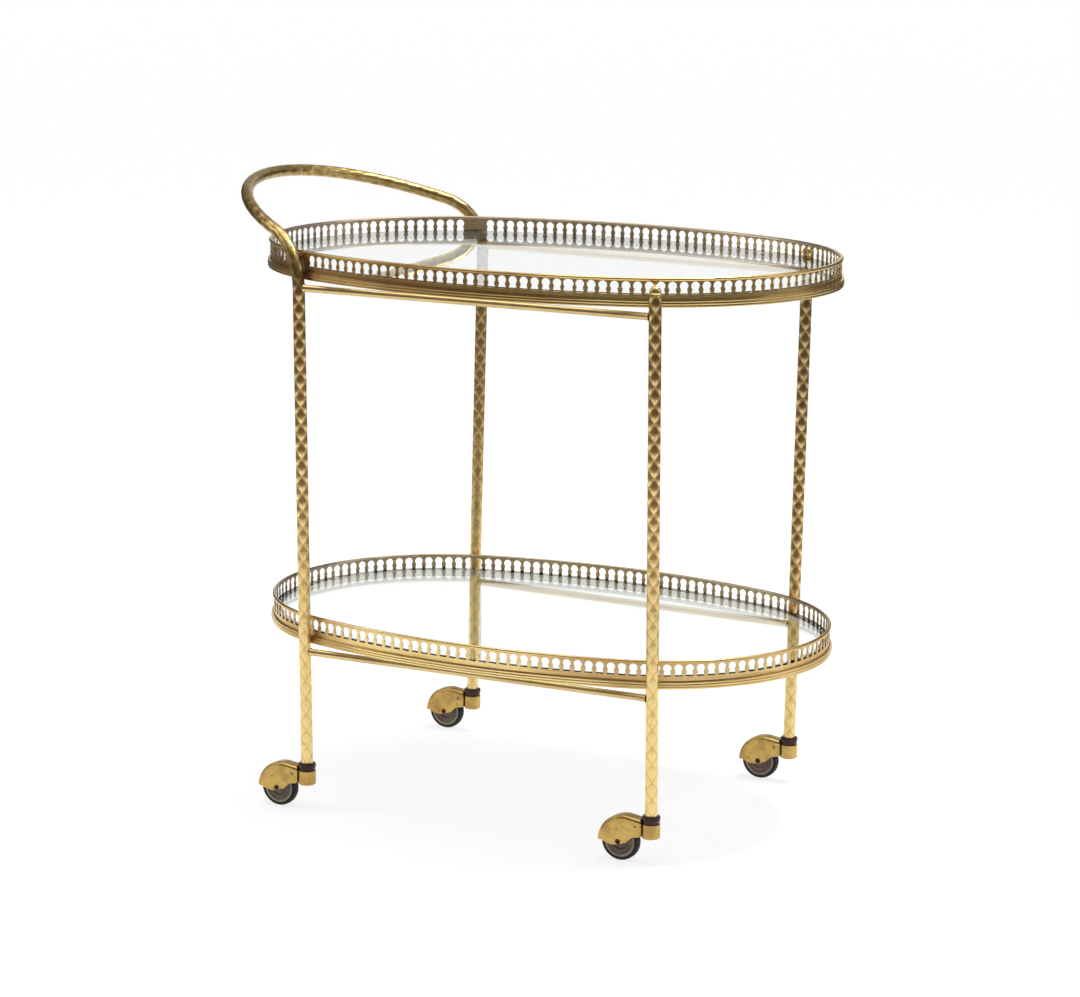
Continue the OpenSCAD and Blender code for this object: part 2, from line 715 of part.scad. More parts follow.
bush_bottom = foot_z - bush_h;
socket_top = bush_bottom - swivel_gap;
socket_z = socket_top - socket_h;
stem_bore_r = stem_r + running_gap;
hood_x = -trail + hood_ahead;
hood_z = wheel_z + hood_above;
cheek_in = hood_w / 2 - hood_t;
rim_r = wheel_r - tyre_t;
tongue_bite = 5;

module bush(side, end) {
    x = end == "left" ? left_leg_x : right_leg_x;
    tilt = atan(leg_slope(x));
    edge = bush_edge;
    flange_z = bush_h - bush_flange_h;
    color(dark_brown) at_caster(side, end) difference() {
        union() {
            translate([0, 0, bush_bottom]) rotate_extrude() polygon([[0, 0],
                [bush_r - bush_waist - edge, 0], [bush_r - bush_waist, edge],
                [bush_r - bush_waist, flange_z - edge], [bush_r, flange_z],
                [bush_r, bush_h - edge], [bush_r - edge, bush_h], [0, bush_h]]);
            intersection() {
                translate([0, 0, foot_z]) rotate([tilt, 0, 0]) translate([0, 0, -tube_t])
                    cylinder(r = bore_r - plug_gap, h = spigot_l + tube_t);
                translate([-tube_d, -tube_d, bush_bottom])
                    cube([2 * tube_d, 2 * tube_d, bush_h + 2 * spigot_l]);
            }
        }
        translate([0, 0, bush_bottom - 1]) cylinder(r = stem_bore_r, h = bush_h + 2 * spigot_l);
    }
}

module stem(side, end) {
    color(pale_brass) at_caster(side, end) translate([0, 0, socket_top - stem_seat])
        cylinder(r = stem_r, h = stem_seat + stem_l);
}

// The cup under the bush, with a tongue that the hood is riveted to
module socket(side, end) {
    tongue_w = 2 * (cheek_in - hood_gap);
    tongue_h = socket_h - socket_round - tongue_drop;
    tongue_l = trail - wheel_r + tongue_bite;
    color(pale_brass) at_caster(side, end) difference() {
        union() {
            translate([0, 0, socket_z]) rotate_extrude() union() {
                square([socket_r - socket_round, socket_h]);
                translate([0, socket_round]) square([socket_r, socket_h - socket_round]);
                translate([socket_r - socket_round, socket_round]) circle(r = socket_round);
            }
            translate([-tongue_l, -tongue_w / 2, socket_top - tongue_drop - tongue_h])
                cube([tongue_l, tongue_w, tongue_h]);
        }
        translate([0, 0, socket_top - stem_seat]) cylinder(r = stem_r + stem_fit, h = socket_h);
        translate([-trail, 0, wheel_z]) rotate([90, 0, 0])
            cylinder(r = wheel_r + wheel_clear, h = hood_w, center = true);
        caster_pin_hole(rivet_x, rivet_z, rivet_r + screw_gap);
    }
}

module caster_pin_hole(back, up, r) {
    translate([-back, 0, wheel_z + up]) rotate([90, 0, 0])
        cylinder(r = r, h = 2 * hood_w, center = true);
}

// Half of a flat drum with rounded shoulders, and its straight run towards the leg
module hood_body(shrink, run) {
    r = hood_r - shrink;
    half_w = hood_w / 2 - shrink;
    round_r = hood_round - shrink;
    forward = [cos(hood_fall), 0, -sin(hood_fall)];
    up = [sin(hood_fall), 0, cos(hood_fall)];
    union() {
        frame_at([hood_x, 0, hood_z], up, -forward)
            rotate_extrude(angle = 180) hood_section(0, r, half_w, round_r);
        frame_at([hood_x, 0, hood_z], up, [0, -1, 0])
            linear_extrude(run) hood_section(-hood_r / 2, r, half_w, round_r);
    }
}

// Cross-section of the hood: x runs outwards from its centre, and y across its width
module hood_section(from, r, half_w, round_r) {
    union() {
        translate([from, -half_w]) square([r - round_r - from, 2 * half_w]);
        translate([from, round_r - half_w]) square([r - from, 2 * (half_w - round_r)]);
        for (s = [-1, 1]) translate([r - round_r, s * (half_w - round_r)])
            circle(r = round_r, $fn = 48);
    }
}

// Side view of the cheeks: a straight rear edge and a shallow lobe under the axle, cut off by a
// steep rise to the front edge and by a bevelled front corner beside the socket
module cheek_outline() {
    far = 2 * hood_r;
    lobe_z = wheel_z - lobe_drop;
    edge_z = wheel_z + hood_edge;
    front_z = wheel_z + front_edge;
    low_z = lobe_z - 1;
    rise_x = rise_ahead - trail;
    front_x = -sqrt(pow(max(bush_r, socket_r) + hood_front, 2) - pow(hood_w / 2, 2));
    bevel_x = front_x - front_bevel;
    bevel_z = front_z + cheek_rise * (1 - bevel_x / rise_x);
    intersection() {
        union() {
            polygon([[-far - trail - 1, edge_z], [1, edge_z], [1, far + edge_z + 1],
                [-far - trail - 1, far + edge_z + 1]]);
            translate([-trail - lobe_back, lobe_z + lobe_r]) circle(r = lobe_r, $fn = 120);
        }
        polygon([[-far - trail, low_z], [rise_x - (front_z - low_z) / tan(cheek_slope), low_z],
            [rise_x, front_z], [bevel_x, bevel_z], [0, bevel_z - bevel_x * tan(bevel_slope)],
            [0, far + edge_z], [-far - trail, far + edge_z]]);
    }
}

module hood(side, end) {
    color(brass) at_caster(side, end) difference() {
        intersection() {
            hood_body(0, trail);
            rotate([90, 0, 0]) linear_extrude(2 * hood_w, center = true) cheek_outline();
        }
        hood_body(hood_t, 2 * trail);
        cylinder(r = max(bush_r, socket_r) + hood_front, h = foot_z + spigot_l);
        translate([0, -hood_w, 0]) cube([2 * trail, 2 * hood_w, 2 * foot_z]);
        caster_pin_hole(rivet_x, rivet_z, rivet_r + screw_gap);
        caster_pin_hole(trail, 0, axle_r + screw_gap);
    }
}

module rivet(side, end) {
    head_r = rivet_r + rivet_lip;
    ball_r = (head_r * head_r + rivet_head_h * rivet_head_h) / (2 * rivet_head_h);
    color(dark_brass) at_caster(side, end) translate([-rivet_x, 0, wheel_z + rivet_z])
        rotate([90, 0, 0]) {
            cylinder(r = rivet_r, h = hood_w, center = true);
            for (s = [0, 1]) mirror([0, 0, s]) intersection() {
                translate([0, 0, hood_w / 2]) cylinder(r = head_r, h = rivet_head_h);
                translate([0, 0, hood_w / 2 + rivet_head_h - ball_r]) sphere(r = ball_r);
            }
        }
}

module axle(side, end) {
    color(dark_brown) at_caster(side, end) translate([-trail, 0, wheel_z]) rotate([90, 0, 0])
        difference() {
            union() {
                cylinder(r = axle_r, h = hood_w, center = true);
                for (s = [0, 1]) mirror([0, 0, s]) translate([0, 0, hood_w / 2])
                    cylinder(r = axle_head_r, h = axle_head_t);
            }
            cylinder(r = axle_bore_r, h = 2 * hood_w, center = true);
        }
}

// The moulded disc: hub, web, raised ring and the seat of the tyre
module wheel(side, end) {
    half_hub = cheek_in - hub_gap;
    half_edge = tyre_w / 2 - wheel_edge_in;
    half_disc = half_edge - disc_in;
    half_ring = half_edge - ring_in;
    color(disc_brown) at_caster(side, end) translate([-trail, 0, wheel_z]) rotate([90, 0, 0])
        rotate_extrude() difference() {
            union() {
                translate([0, -half_hub]) square([hub_r, 2 * half_hub]);
                translate([0, -half_disc]) square([rim_r, 2 * half_disc]);
                translate([ring_r - ring_w / 2, -half_ring]) square([ring_w, 2 * half_ring]);
                translate([rim_r - wheel_edge_w, -half_edge])
                    square([wheel_edge_w, 2 * half_edge]);
            }
            translate([-1, -hood_w]) square([axle_r + running_gap + 1, 2 * hood_w]);
        }
}

module tyre(side, end) {
    seat_r = rim_r + seat_gap;
    half_w = tyre_w / 2;
    shoulder = tyre_round;
    color(rubber_black) at_caster(side, end) translate([-trail, 0, wheel_z]) rotate([90, 0, 0])
        rotate_extrude(convexity = 4) union() {
            translate([seat_r, -half_w]) square([wheel_r - shoulder - seat_r, tyre_w]);
            translate([seat_r, -half_w + shoulder])
                square([wheel_r - seat_r, tyre_w - 2 * shoulder]);
            for (s = [-1, 1]) translate([wheel_r - shoulder, s * (half_w - shoulder)])
                intersection() {
                    circle(r = shoulder, $fn = 48);
                    translate([seat_r - wheel_r + shoulder, -shoulder])
                        square([wheel_r - seat_r, 2 * shoulder]);
                }
        }
}

handle_frame();
right_leg("near");  // near_right_leg
right_leg("far");  // far_right_leg
finial("near");  // near_finial
finial("far");  // far_finial
rail(upper, "near");  // upper_near_rail
rail(upper, "far");  // upper_far_rail
rail(lower, "near");  // lower_near_rail
rail(lower, "far");  // lower_far_rail
rim(upper, upper_start, "left");  // upper_left_rim
rim(upper, upper_start, "right");  // upper_right_rim
rim(lower, lower_start, "left");  // lower_left_rim
rim(lower, lower_start, "right");  // lower_right_rim
gallery(upper, upper_start, "left", true, 0);  // upper_left_gallery
gallery(upper, upper_start, "right", true, wide_opening_s);  // upper_right_gallery
gallery(lower, lower_start, "left", false, 0);  // lower_left_gallery
gallery(lower, lower_start, "right", false, 0);  // lower_right_gallery
glass(upper);  // upper_glass
glass(lower);  // lower_glass
rim_screws(upper);  // upper_rim_screws
rim_screws(lower);  // lower_rim_screws
handle_screws();
handle_spacers();
bush("near", "left");  // near_left_bush
stem("near", "left");  // near_left_stem
socket("near", "left");  // near_left_socket
hood("near", "left");  // near_left_hood
rivet("near", "left");  // near_left_rivet
axle("near", "left");  // near_left_axle
wheel("near", "left");  // near_left_wheel
tyre("near", "left");  // near_left_tyre
bush("near", "right");  // near_right_bush
stem("near", "right");  // near_right_stem
socket("near", "right");  // near_right_socket
hood("near", "right");  // near_right_hood
rivet("near", "right");  // near_right_rivet
axle("near", "right");  // near_right_axle
wheel("near", "right");  // near_right_wheel
tyre("near", "right");  // near_right_tyre
bush("far", "left");  // far_left_bush
stem("far", "left");  // far_left_stem
socket("far", "left");  // far_left_socket
hood("far", "left");  // far_left_hood
rivet("far", "left");  // far_left_rivet
axle("far", "left");  // far_left_axle
wheel("far", "left");  // far_left_wheel
tyre("far", "left");  // far_left_tyre
bush("far", "right");  // far_right_bush
stem("far", "right");  // far_right_stem
socket("far", "right");  // far_right_socket
hood("far", "right");  // far_right_hood
rivet("far", "right");  // far_right_rivet
axle("far", "right");  // far_right_axle
wheel("far", "right");  // far_right_wheel
tyre("far", "right");  // far_right_tyre
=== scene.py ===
import json
import math

import bmesh
import bpy
import numpy as np
from mathutils import Matrix, Vector
from mathutils.geometry import tessellate_polygon


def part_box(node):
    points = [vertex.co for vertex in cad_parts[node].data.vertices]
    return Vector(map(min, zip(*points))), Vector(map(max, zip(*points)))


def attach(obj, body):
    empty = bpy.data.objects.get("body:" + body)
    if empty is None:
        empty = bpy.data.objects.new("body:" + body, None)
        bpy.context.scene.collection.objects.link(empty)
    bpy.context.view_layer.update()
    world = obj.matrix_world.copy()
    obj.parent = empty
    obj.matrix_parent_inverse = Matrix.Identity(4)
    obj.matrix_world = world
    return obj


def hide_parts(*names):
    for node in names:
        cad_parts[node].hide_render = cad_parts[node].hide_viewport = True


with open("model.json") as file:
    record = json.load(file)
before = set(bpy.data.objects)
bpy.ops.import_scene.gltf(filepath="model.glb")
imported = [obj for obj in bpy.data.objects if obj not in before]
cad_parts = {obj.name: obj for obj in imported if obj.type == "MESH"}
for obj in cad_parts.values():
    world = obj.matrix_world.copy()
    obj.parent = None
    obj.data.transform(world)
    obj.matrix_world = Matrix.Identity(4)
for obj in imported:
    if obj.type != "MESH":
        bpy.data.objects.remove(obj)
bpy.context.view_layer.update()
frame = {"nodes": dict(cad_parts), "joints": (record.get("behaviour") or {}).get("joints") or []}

mm = 0.001
corners = [(side, end) for side in ("near", "far") for end in ("left", "right")]
print("stage: frame loaded,", len(frame["nodes"]), "nodes")


# Nodes written as Python

class Wire:  # one socket, so that sums and products of sockets read as plain arithmetic
    def __init__(self, graph, socket):
        self.graph = graph
        self.socket = socket

    def maths(self, operation, *values):
        return self.graph.add("ShaderNodeMath", {"operation": operation}, dict(enumerate(values)))

    def __add__(self, other):
        return self.maths("ADD", self, other)

    def __sub__(self, other):
        return self.maths("SUBTRACT", self, other)

    def __mul__(self, other):
        return self.maths("MULTIPLY", self, other)

    def __truediv__(self, other):
        return self.maths("DIVIDE", self, other)

    def __rsub__(self, other):
        return self.maths("SUBTRACT", other, self)

    __radd__ = __add__
    __rmul__ = __mul__

    def smallest(self, other):
        return self.maths("MINIMUM", self, other)

    def toNearest(self):  # distance to the nearest whole number, 0 to 0.5
        return self.maths("PINGPONG", self, 0.5)

    def part(self):  # what is over the last whole number
        return self.maths("FRACT", self)

    def step(self, low, high):  # rises smoothly from 0 at low to 1 at high
        ends = {0: self, 1: low, 2: high}
        return self.graph.add("ShaderNodeMapRange", {"interpolation_type": "SMOOTHSTEP"}, ends)

    def vector(self, operation, other):
        return self.graph.add("ShaderNodeVectorMath", {"operation": operation}, {0: self, 1: other})

    def times(self, size):  # a vector, made longer
        values = {0: self, "Scale": size}
        return self.graph.add("ShaderNodeVectorMath", {"operation": "SCALE"}, values)

    def axes(self):
        return [self.graph.add("ShaderNodeSeparateXYZ", {}, {0: self}, out) for out in range(3)]


class Graph:  # a node tree, with one method that adds any node
    def __init__(self, tree):
        self.tree = tree

    def add(self, kind, settings=None, values=None, out=0):
        node = self.tree.nodes.new(kind)
        for name, setting in (settings or {}).items():
            if name == "stops":
                ramp = node.color_ramp
                while len(ramp.elements) < len(setting):
                    ramp.elements.new(0.5)
                for element, (place, colour) in zip(ramp.elements, setting):
                    element.position = place
                    element.color = (*colour, 1)
            else:
                setattr(node, name, setting)
        for key, value in (values or {}).items():
            socket = node.inputs[key]
            if isinstance(value, Wire):
                self.tree.links.new(value.socket, socket)
            else:
                socket.default_value = value
        return Wire(self, node.outputs[out]) if len(node.outputs) else node

    def blend(self, factor, a, b):  # colour a to colour b
        a = a if isinstance(a, Wire) else (*a, 1)
        b = b if isinstance(b, Wire) else (*b, 1)
        return self.add("ShaderNodeMix", {"data_type": "RGBA"}, {0: factor, 6: a, 7: b}, 2)

    def noise(self, vector, scale, detail=3.0, rough=0.55):
        values = {"Vector": vector, "Scale": scale, "Detail": detail, "Roughness": rough}
        return self.add("ShaderNodeTexNoise", {}, values)

    def place(self):
        return self.add("ShaderNodeTexCoord", {}, {}, "Object")

    def uv(self):
        return self.add("ShaderNodeUVMap", {"uv_map": "UVMap"})


def newMaterial(name):
    material = bpy.data.materials.new(name)
    material.use_nodes = True
    graph = Graph(material.node_tree)
    shader = material.node_tree.nodes["Principled BSDF"]
    return material, graph, shader


def feed(graph, shader, **values):  # constants go straight on the shader's sockets
    for name, value in values.items():
        socket = shader.inputs[name.replace("_", " ")]
        if isinstance(value, Wire):
            graph.tree.links.new(value.socket, socket)
        else:
            socket.default_value = value


def bumped(graph, height, distance, strength=1.0, normal=None):
    values = {"Height": height, "Distance": distance, "Strength": strength}
    if normal is not None:
        values["Normal"] = normal
    return graph.add("ShaderNodeBump", {}, values)


# Geometry Nodes, built in script and baked to plain meshes

def newTree(name, inputs):
    tree = bpy.data.node_groups.new(name, "GeometryNodeTree")
    tree.interface.new_socket("Geometry", in_out="INPUT", socket_type="NodeSocketGeometry")
    for label, kind in inputs.items():
        tree.interface.new_socket(label, in_out="INPUT", socket_type="NodeSocket" + kind)
    tree.interface.new_socket("Geometry", in_out="OUTPUT", socket_type="NodeSocketGeometry")
    graph = Graph(tree)
    source = tree.nodes.new("NodeGroupInput")
    given = {socket.name: Wire(graph, socket) for socket in source.outputs if socket.name}
    return tree, graph, given


def endTree(graph, geometry, material):  # realised, with its material, as the export needs
    plain = graph.add("GeometryNodeRealizeInstances", {}, {0: geometry})
    painted = graph.add("GeometryNodeSetMaterial", {}, {"Geometry": plain, "Material": material})
    result = graph.tree.nodes.new("NodeGroupOutput")
    graph.tree.links.new(painted.socket, result.inputs[0])


def grow(name, tree, values, base=None):  # runs a tree once and returns its plain mesh
    seed = placed(name + "Seed", base or bpy.data.meshes.new(name))
    modifier = seed.modifiers.new("grow", "NODES")
    modifier.node_group = tree
    sockets = {item.name: item.identifier for item in tree.interface.items_tree
               if item.in_out == "INPUT"}
    for label, value in values.items():
        modifier[sockets[label]] = value
    depsgraph = bpy.context.evaluated_depsgraph_get()
    grown = bpy.data.meshes.new_from_object(seed.evaluated_get(depsgraph), depsgraph=depsgraph)
    bpy.data.objects.remove(seed)
    return grown


def placed(name, data):  # a new object in the scene
    thing = bpy.data.objects.new(name, data)
    bpy.context.collection.objects.link(thing)
    return thing


def meshOf(name, points, faces):
    mesh = bpy.data.meshes.new(name)
    mesh.from_pydata([tuple(p) for p in points], [], [tuple(f) for f in faces])
    return mesh


def arcPoints(centre, radius, start, end, steps):  # degrees, ends included
    return [(centre[0] + radius * math.cos(math.radians(start + (end - start) * i / steps)),
             centre[1] + radius * math.sin(math.radians(start + (end - start) * i / steps)))
            for i in range(steps + 1)]


def reshape(mesh, change):  # one change to a mesh's own points and faces
    shell = bmesh.new()
    shell.from_mesh(mesh)
    change(shell)
    shell.to_mesh(mesh)
    shell.free()


def outwardNormals(mesh):
    reshape(mesh, lambda shell: bmesh.ops.recalc_face_normals(shell, faces=shell.faces))


def joined(name, meshes):  # several meshes as one, welded where they meet
    shell = bmesh.new()
    for mesh in meshes:
        shell.from_mesh(mesh)
    bmesh.ops.remove_doubles(shell, verts=shell.verts, dist=0.02 * mm)
    whole = bpy.data.meshes.new(name)
    shell.to_mesh(whole)
    shell.free()
    return whole


def addPiece(name, mesh, body, material=None, sharpAngle=38, stands=()):
    piece = placed(name, mesh)
    if material is not None:
        mesh.materials.clear()
        mesh.materials.append(material)
    mesh.polygons.foreach_set("use_smooth", [True] * len(mesh.polygons))
    if sharpAngle:
        mesh.set_sharp_from_angle(angle=math.radians(sharpAngle))
    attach(piece, body)
    for node in stands:
        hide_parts(node)


def pathCurve(name, points, closed=False):
    curve = bpy.data.curves.new(name, "CURVE")
    curve.dimensions = "3D"
    spline = curve.splines.new("POLY")
    spline.points.add(len(points) - 1)
    for point, place in zip(spline.points, points):
        point.co = (*place, 1)
    spline.use_cyclic_u = closed
    return placed(name, curve)


# Camera, floor and light

view = {"place": (1.74134, -3.31396, 1.09669), "yaw": 27.644, "pitch": 11.3336, "roll": 0.7351,
        "lens": 111.31, "sensor": 36.0, "clip": (0.05, 200)}


def setCamera():
    camera = placed("camera", bpy.data.cameras.new("camera"))
    camera.data.lens = view["lens"]
    camera.data.sensor_width = view["sensor"]
    camera.data.clip_start, camera.data.clip_end = view["clip"]
    turn = Matrix.Rotation(math.radians(view["yaw"]), 4, "Z")
    nod = Matrix.Rotation(math.radians(90 - view["pitch"]), 4, "X")
    roll = Matrix.Rotation(math.radians(view["roll"]), 4, "Z")
    camera.matrix_world = Matrix.Translation(view["place"]) @ turn @ nod @ roll
    bpy.context.scene.camera = camera


studio = {"floorSize": 60.0, "floorColour": (0.28, 0.28, 0.283), "nearGlow": 0.75, "farGlow": 0.84,
          "glowReach": (0.5, 1.8), "world": 0.95, "darkWorld": 0.10, "darkBand": (0.64, 0.72, 0.84),
          "flagRadius": 2.4, "flagFoot": 0.002, "flagHeight": 1.5, "flagArc": 160, "flagSteps": 48,
          "exposure": 0.0}
lamps = {"overhead": {"place": (-0.3, 0.2, 2.6), "target": (0, 0, 0.3), "size": (2.6, 1.8), "power": 30},
         "key": {"place": (0.75, 0.55, 2.7), "target": (0, 0, 0.3), "size": (0.45, 0.45), "power": 34},
         "leftBox": {"place": (-2.2, -1.2, 1.5), "target": (0, 0, 0.4), "size": (0.5, 1.6), "power": 16},
         "rightBox": {"place": (2.3, 0.9, 1.3), "target": (0, 0, 0.4), "size": (0.35, 1.5), "power": 12}}


def setFloor():
    half = studio["floorSize"] / 2
    points = [(x * half, y * half, 0) for x, y in ((-1, -1), (1, -1), (1, 1), (-1, 1))]
    floor = placed("floor", meshOf("floor", points, [(0, 1, 2, 3)]))
    material, graph, shader = newMaterial("paleFloor")
    mottle = graph.noise(graph.place(), 2.0)
    pale = studio["floorColour"]
    away = graph.add("ShaderNodeVectorMath", {"operation": "LENGTH"}, {0: graph.place()}, 1)
    glow = graph.blend(away.step(*studio["glowReach"]), (studio["nearGlow"],) * 3, (studio["farGlow"],) * 3)
    feed(graph, shader, Base_Color=graph.blend(mottle, pale, [c * 0.985 for c in pale]), Roughness=0.9,
         Emission_Color=glow, Emission_Strength=1.0)
    floor.data.materials.append(material)


def setFlag():  # a dark screen round all but the back, which only reflections see
    arc, steps = studio["flagArc"], studio["flagSteps"]
    middle = view["yaw"] - 90
    rows = arcPoints((0, 0), studio["flagRadius"], middle - arc, middle + arc, steps)
    points = [(x, y, z) for x, y in rows for z in (studio["flagFoot"], studio["flagHeight"])]
    faces = [(2 * i, 2 * i + 2, 2 * i + 3, 2 * i + 1) for i in range(steps)]
    flag = placed("flag", meshOf("flag", points, faces))
    flag.visible_camera = False
    flag.visible_diffuse = False
    flag.visible_transmission = False
    flag.visible_shadow = False
    material, graph, shader = newMaterial("flagCloth")
    feed(graph, shader, Base_Color=(0.012, 0.010, 0.008, 1), Roughness=0.9)
    flag.data.materials.append(material)


def addLamp(name, place, target, size, power):
    light = bpy.data.lights.new(name, "AREA")
    light.shape = "RECTANGLE"
    light.size, light.size_y = size
    light.energy = power
    lamp = placed(name, light)
    lamp.location = place
    lamp.rotation_euler = (Vector(target) - Vector(place)).to_track_quat("-Z", "Y").to_euler()


def setLight():
    world = bpy.data.worlds.new("studio")
    bpy.context.scene.world = world
    world.use_nodes = True
    graph = Graph(world.node_tree)
    height = graph.add("ShaderNodeTexCoord", {}, {}, "Generated").axes()[2]
    grey, dim = (studio["world"],) * 3, [studio["darkWorld"] * part for part in (1, 0.95, 0.9)]
    paleTo, darkFrom, darkTo = studio["darkBand"]
    stops = [(0.0, grey), (paleTo, grey), (darkFrom, dim), (darkTo, dim), (1.0, grey)]
    sky = graph.add("ShaderNodeValToRGB", {"stops": stops}, {0: height * 0.5 + 0.5})
    ground = world.node_tree.nodes["Background"]
    world.node_tree.links.new(sky.socket, ground.inputs["Color"])
    ground.inputs["Strength"].default_value = 1.0
    for name, lamp in lamps.items():
        addLamp(name, **lamp)
    bpy.context.scene.view_settings.view_transform = "Standard"
    bpy.context.scene.view_settings.exposure = studio["exposure"]


setCamera()
setFloor()
setFlag()
setLight()
print("stage: camera, floor and light")


# Finishes

gold = {"bright": (0.88, 0.66, 0.28), "tan": (0.62, 0.41, 0.16), "brown": (0.30, 0.17, 0.06),
        "umber": (0.075, 0.040, 0.02), "silver": (0.46, 0.40, 0.33), "olive": (0.46, 0.35, 0.13),
        "cream": (0.98, 0.78, 0.38), "moss": (0.55, 0.54, 0.45), "back": (0.40, 0.29, 0.18),
        "amber": (0.56, 0.29, 0.05), "straw": (0.76, 0.55, 0.24)}


emboss = {"columns": 3, "pitch": 19.6 * mm, "depth": 0.55 * mm, "step": 1.25 * mm, "sides": 36,
          "groove": 0.05}
lattice = {"mottleScale": 38, "wobbleScale": 210, "faintScale": 120, "wornScale": 90, "spotScale": 160,
           "fineScale": 420, "shadeMottle": 0.14, "shadeHeights": (0.24, 0.50), "plainFade": 0.02,
           "wobble": 0.10, "line": (0.012, 0.042), "lineShaded": (0.012, 0.035), "corner": (0.42, 0.85),
           "cornerShaded": (0.36, 0.60), "strokeWide": (0.16, 0.34), "strokeLong": (0.42, 0.66),
           "strokeClear": (0.02, 0.06), "faint": (0.34, 0.62), "worn": (0.40, 0.66), "spots": (0.62, 0.74)}
inwardOf = {"back": (0.9 * mm, 1.1 * mm), "ledge": (2.2 * mm, 2.6 * mm)}  # from the gallery's face


def tubeFinish(name, shadeShift=0.0, plainAbove=9.0):
    # The lattice's lines and cells: pale low down as a painted reflection of the floor, darkened upwards as
    # painted shade, and worn plain above a height
    material, graph, shader = newMaterial(name)
    turn, along, _ = graph.uv().axes()
    place = graph.place()
    height = place.axes()[2]
    up, around = along * (1 / emboss["pitch"]), turn * emboss["columns"]
    left, right = up + around, up - around
    leftPart, rightPart = left.part(), right.part()
    near = left.toNearest().smallest(right.toNearest())
    t = lattice
    mottle = graph.noise(place, t["mottleScale"], 4, 0.6)
    # painted shade: 0 low down, where the pale colours paint the floor's reflection, rising to 1 higher up,
    # where the tube is painted darker
    paintedShade = (height + mottle * t["shadeMottle"] + shadeShift).step(*t["shadeHeights"])
    plain = height.step(plainAbove, plainAbove + t["plainFade"])
    wobble = graph.noise(place, t["wobbleScale"], 2) * t["wobble"] - t["wobble"] / 2
    line = 1 - near.step(*[new + paintedShade * old for new, old in zip(t["line"], t["lineShaded"])])
    # painted shade: the upper corner of each cell darkens, more so higher up the tube
    cornerEnds = [new - paintedShade * old for new, old in zip(t["corner"], t["cornerShaded"])]
    corner = (leftPart * rightPart + wobble).step(*cornerEnds)
    low, high = leftPart.smallest(rightPart), leftPart.maths("MAXIMUM", leftPart, rightPart)
    # painted highlight: cream strokes inside each cell, shown only where the tube is painted shaded
    highlightStroke = (1 - (low + wobble).step(*t["strokeWide"])) * (1 - (high + wobble).step(*t["strokeLong"]))
    highlightStroke = highlightStroke * (near + wobble * 0.3).step(*t["strokeClear"])
    # cell colours: bright gold low down as painted floor reflection, tan to brown higher up as painted
    # shade
    lower = graph.blend(paintedShade * 0.85, gold["bright"], gold["tan"])
    upper = graph.blend(paintedShade, gold["tan"], gold["brown"])
    cell = graph.blend(corner * (0.45 + paintedShade * 0.5), lower, upper)
    cell = graph.blend(highlightStroke * paintedShade, cell, gold["cream"])
    # line colour: dark orange patina in the grooves low down, turning tan higher up as a painted highlight
    # against the painted shade of the cells
    ridge = graph.blend(paintedShade, gold["amber"], gold["tan"])
    faint = graph.noise(place, t["faintScale"], 3).step(*t["faint"])
    colour = graph.blend(line * (0.35 + faint * 0.6), cell, ridge)
    wear = graph.noise(place, t["wornScale"], 4, 0.65).step(*t["worn"])
    worn = graph.blend(wear, gold["olive"], gold["brown"])
    colour = graph.blend(plain * 0.8, colour, worn)
    spots = graph.noise(place, t["spotScale"], 2).step(*t["spots"])
    colour = graph.blend(spots * 0.5, colour, gold["brown"])
    fine = bumped(graph, graph.noise(place, t["fineScale"], 3), 0.06 * mm, 0.5)
    feed(graph, shader, Base_Color=colour, Metallic=0.96, Roughness=0.24 + mottle * 0.16,
         Normal=bumped(graph, line, 0.14 * mm, 0.6, fine))
    return material


def rimFinish(name, bright, dark, patch):  # streaks along the rim, brighter between two places
    material, graph, shader = newMaterial(name)
    uv = graph.uv()
    place = graph.place()
    x = place.axes()[0]
    streaks = graph.noise(uv.vector("MULTIPLY", (9, 420, 0)), 1.0, 4, 0.6)
    clouds = graph.noise(place, 9, 3)
    start, end, soft = *patch, 0.04
    # a brighter, less dulled span between the two places along X
    brighterSpan = x.step(start - soft, start + soft) * (1 - x.step(end - soft, end + soft))
    dull = (streaks * 0.6 + clouds * 0.6 - brighterSpan * 0.12).step(0.44, 0.76)
    colour = graph.blend(dull, bright, dark)
    colour = graph.blend(brighterSpan * (1 - dull) * 0.6, colour, gold["bright"])
    tarnish = (graph.noise(place, 14, 3) * 0.14 - x).step(0.30, 0.40)
    colour = graph.blend(tarnish * 0.8, colour, gold["silver"])
    scuffs = graph.noise(uv.vector("MULTIPLY", (60, 60, 0)), 4.0, 5, 0.7).step(0.66, 0.74)
    colour = graph.blend(scuffs * 0.45, colour, gold["umber"])
    inward = graph.add("ShaderNodeAttribute", {"attribute_name": "inward"}, {}, "Fac")
    colour = graph.blend(inward.step(*inwardOf["back"]) * 0.8, colour, gold["back"])
    colour = graph.blend(inward.step(*inwardOf["ledge"]) * 0.9, colour, gold["moss"])
    normal = bumped(graph, graph.noise(uv.vector("MULTIPLY", (30, 900, 0)), 1.0, 3), 0.08 * mm, 0.6)
    feed(graph, shader, Base_Color=colour, Metallic=0.95, Roughness=0.26 + dull * 0.18, Normal=normal)
    return material


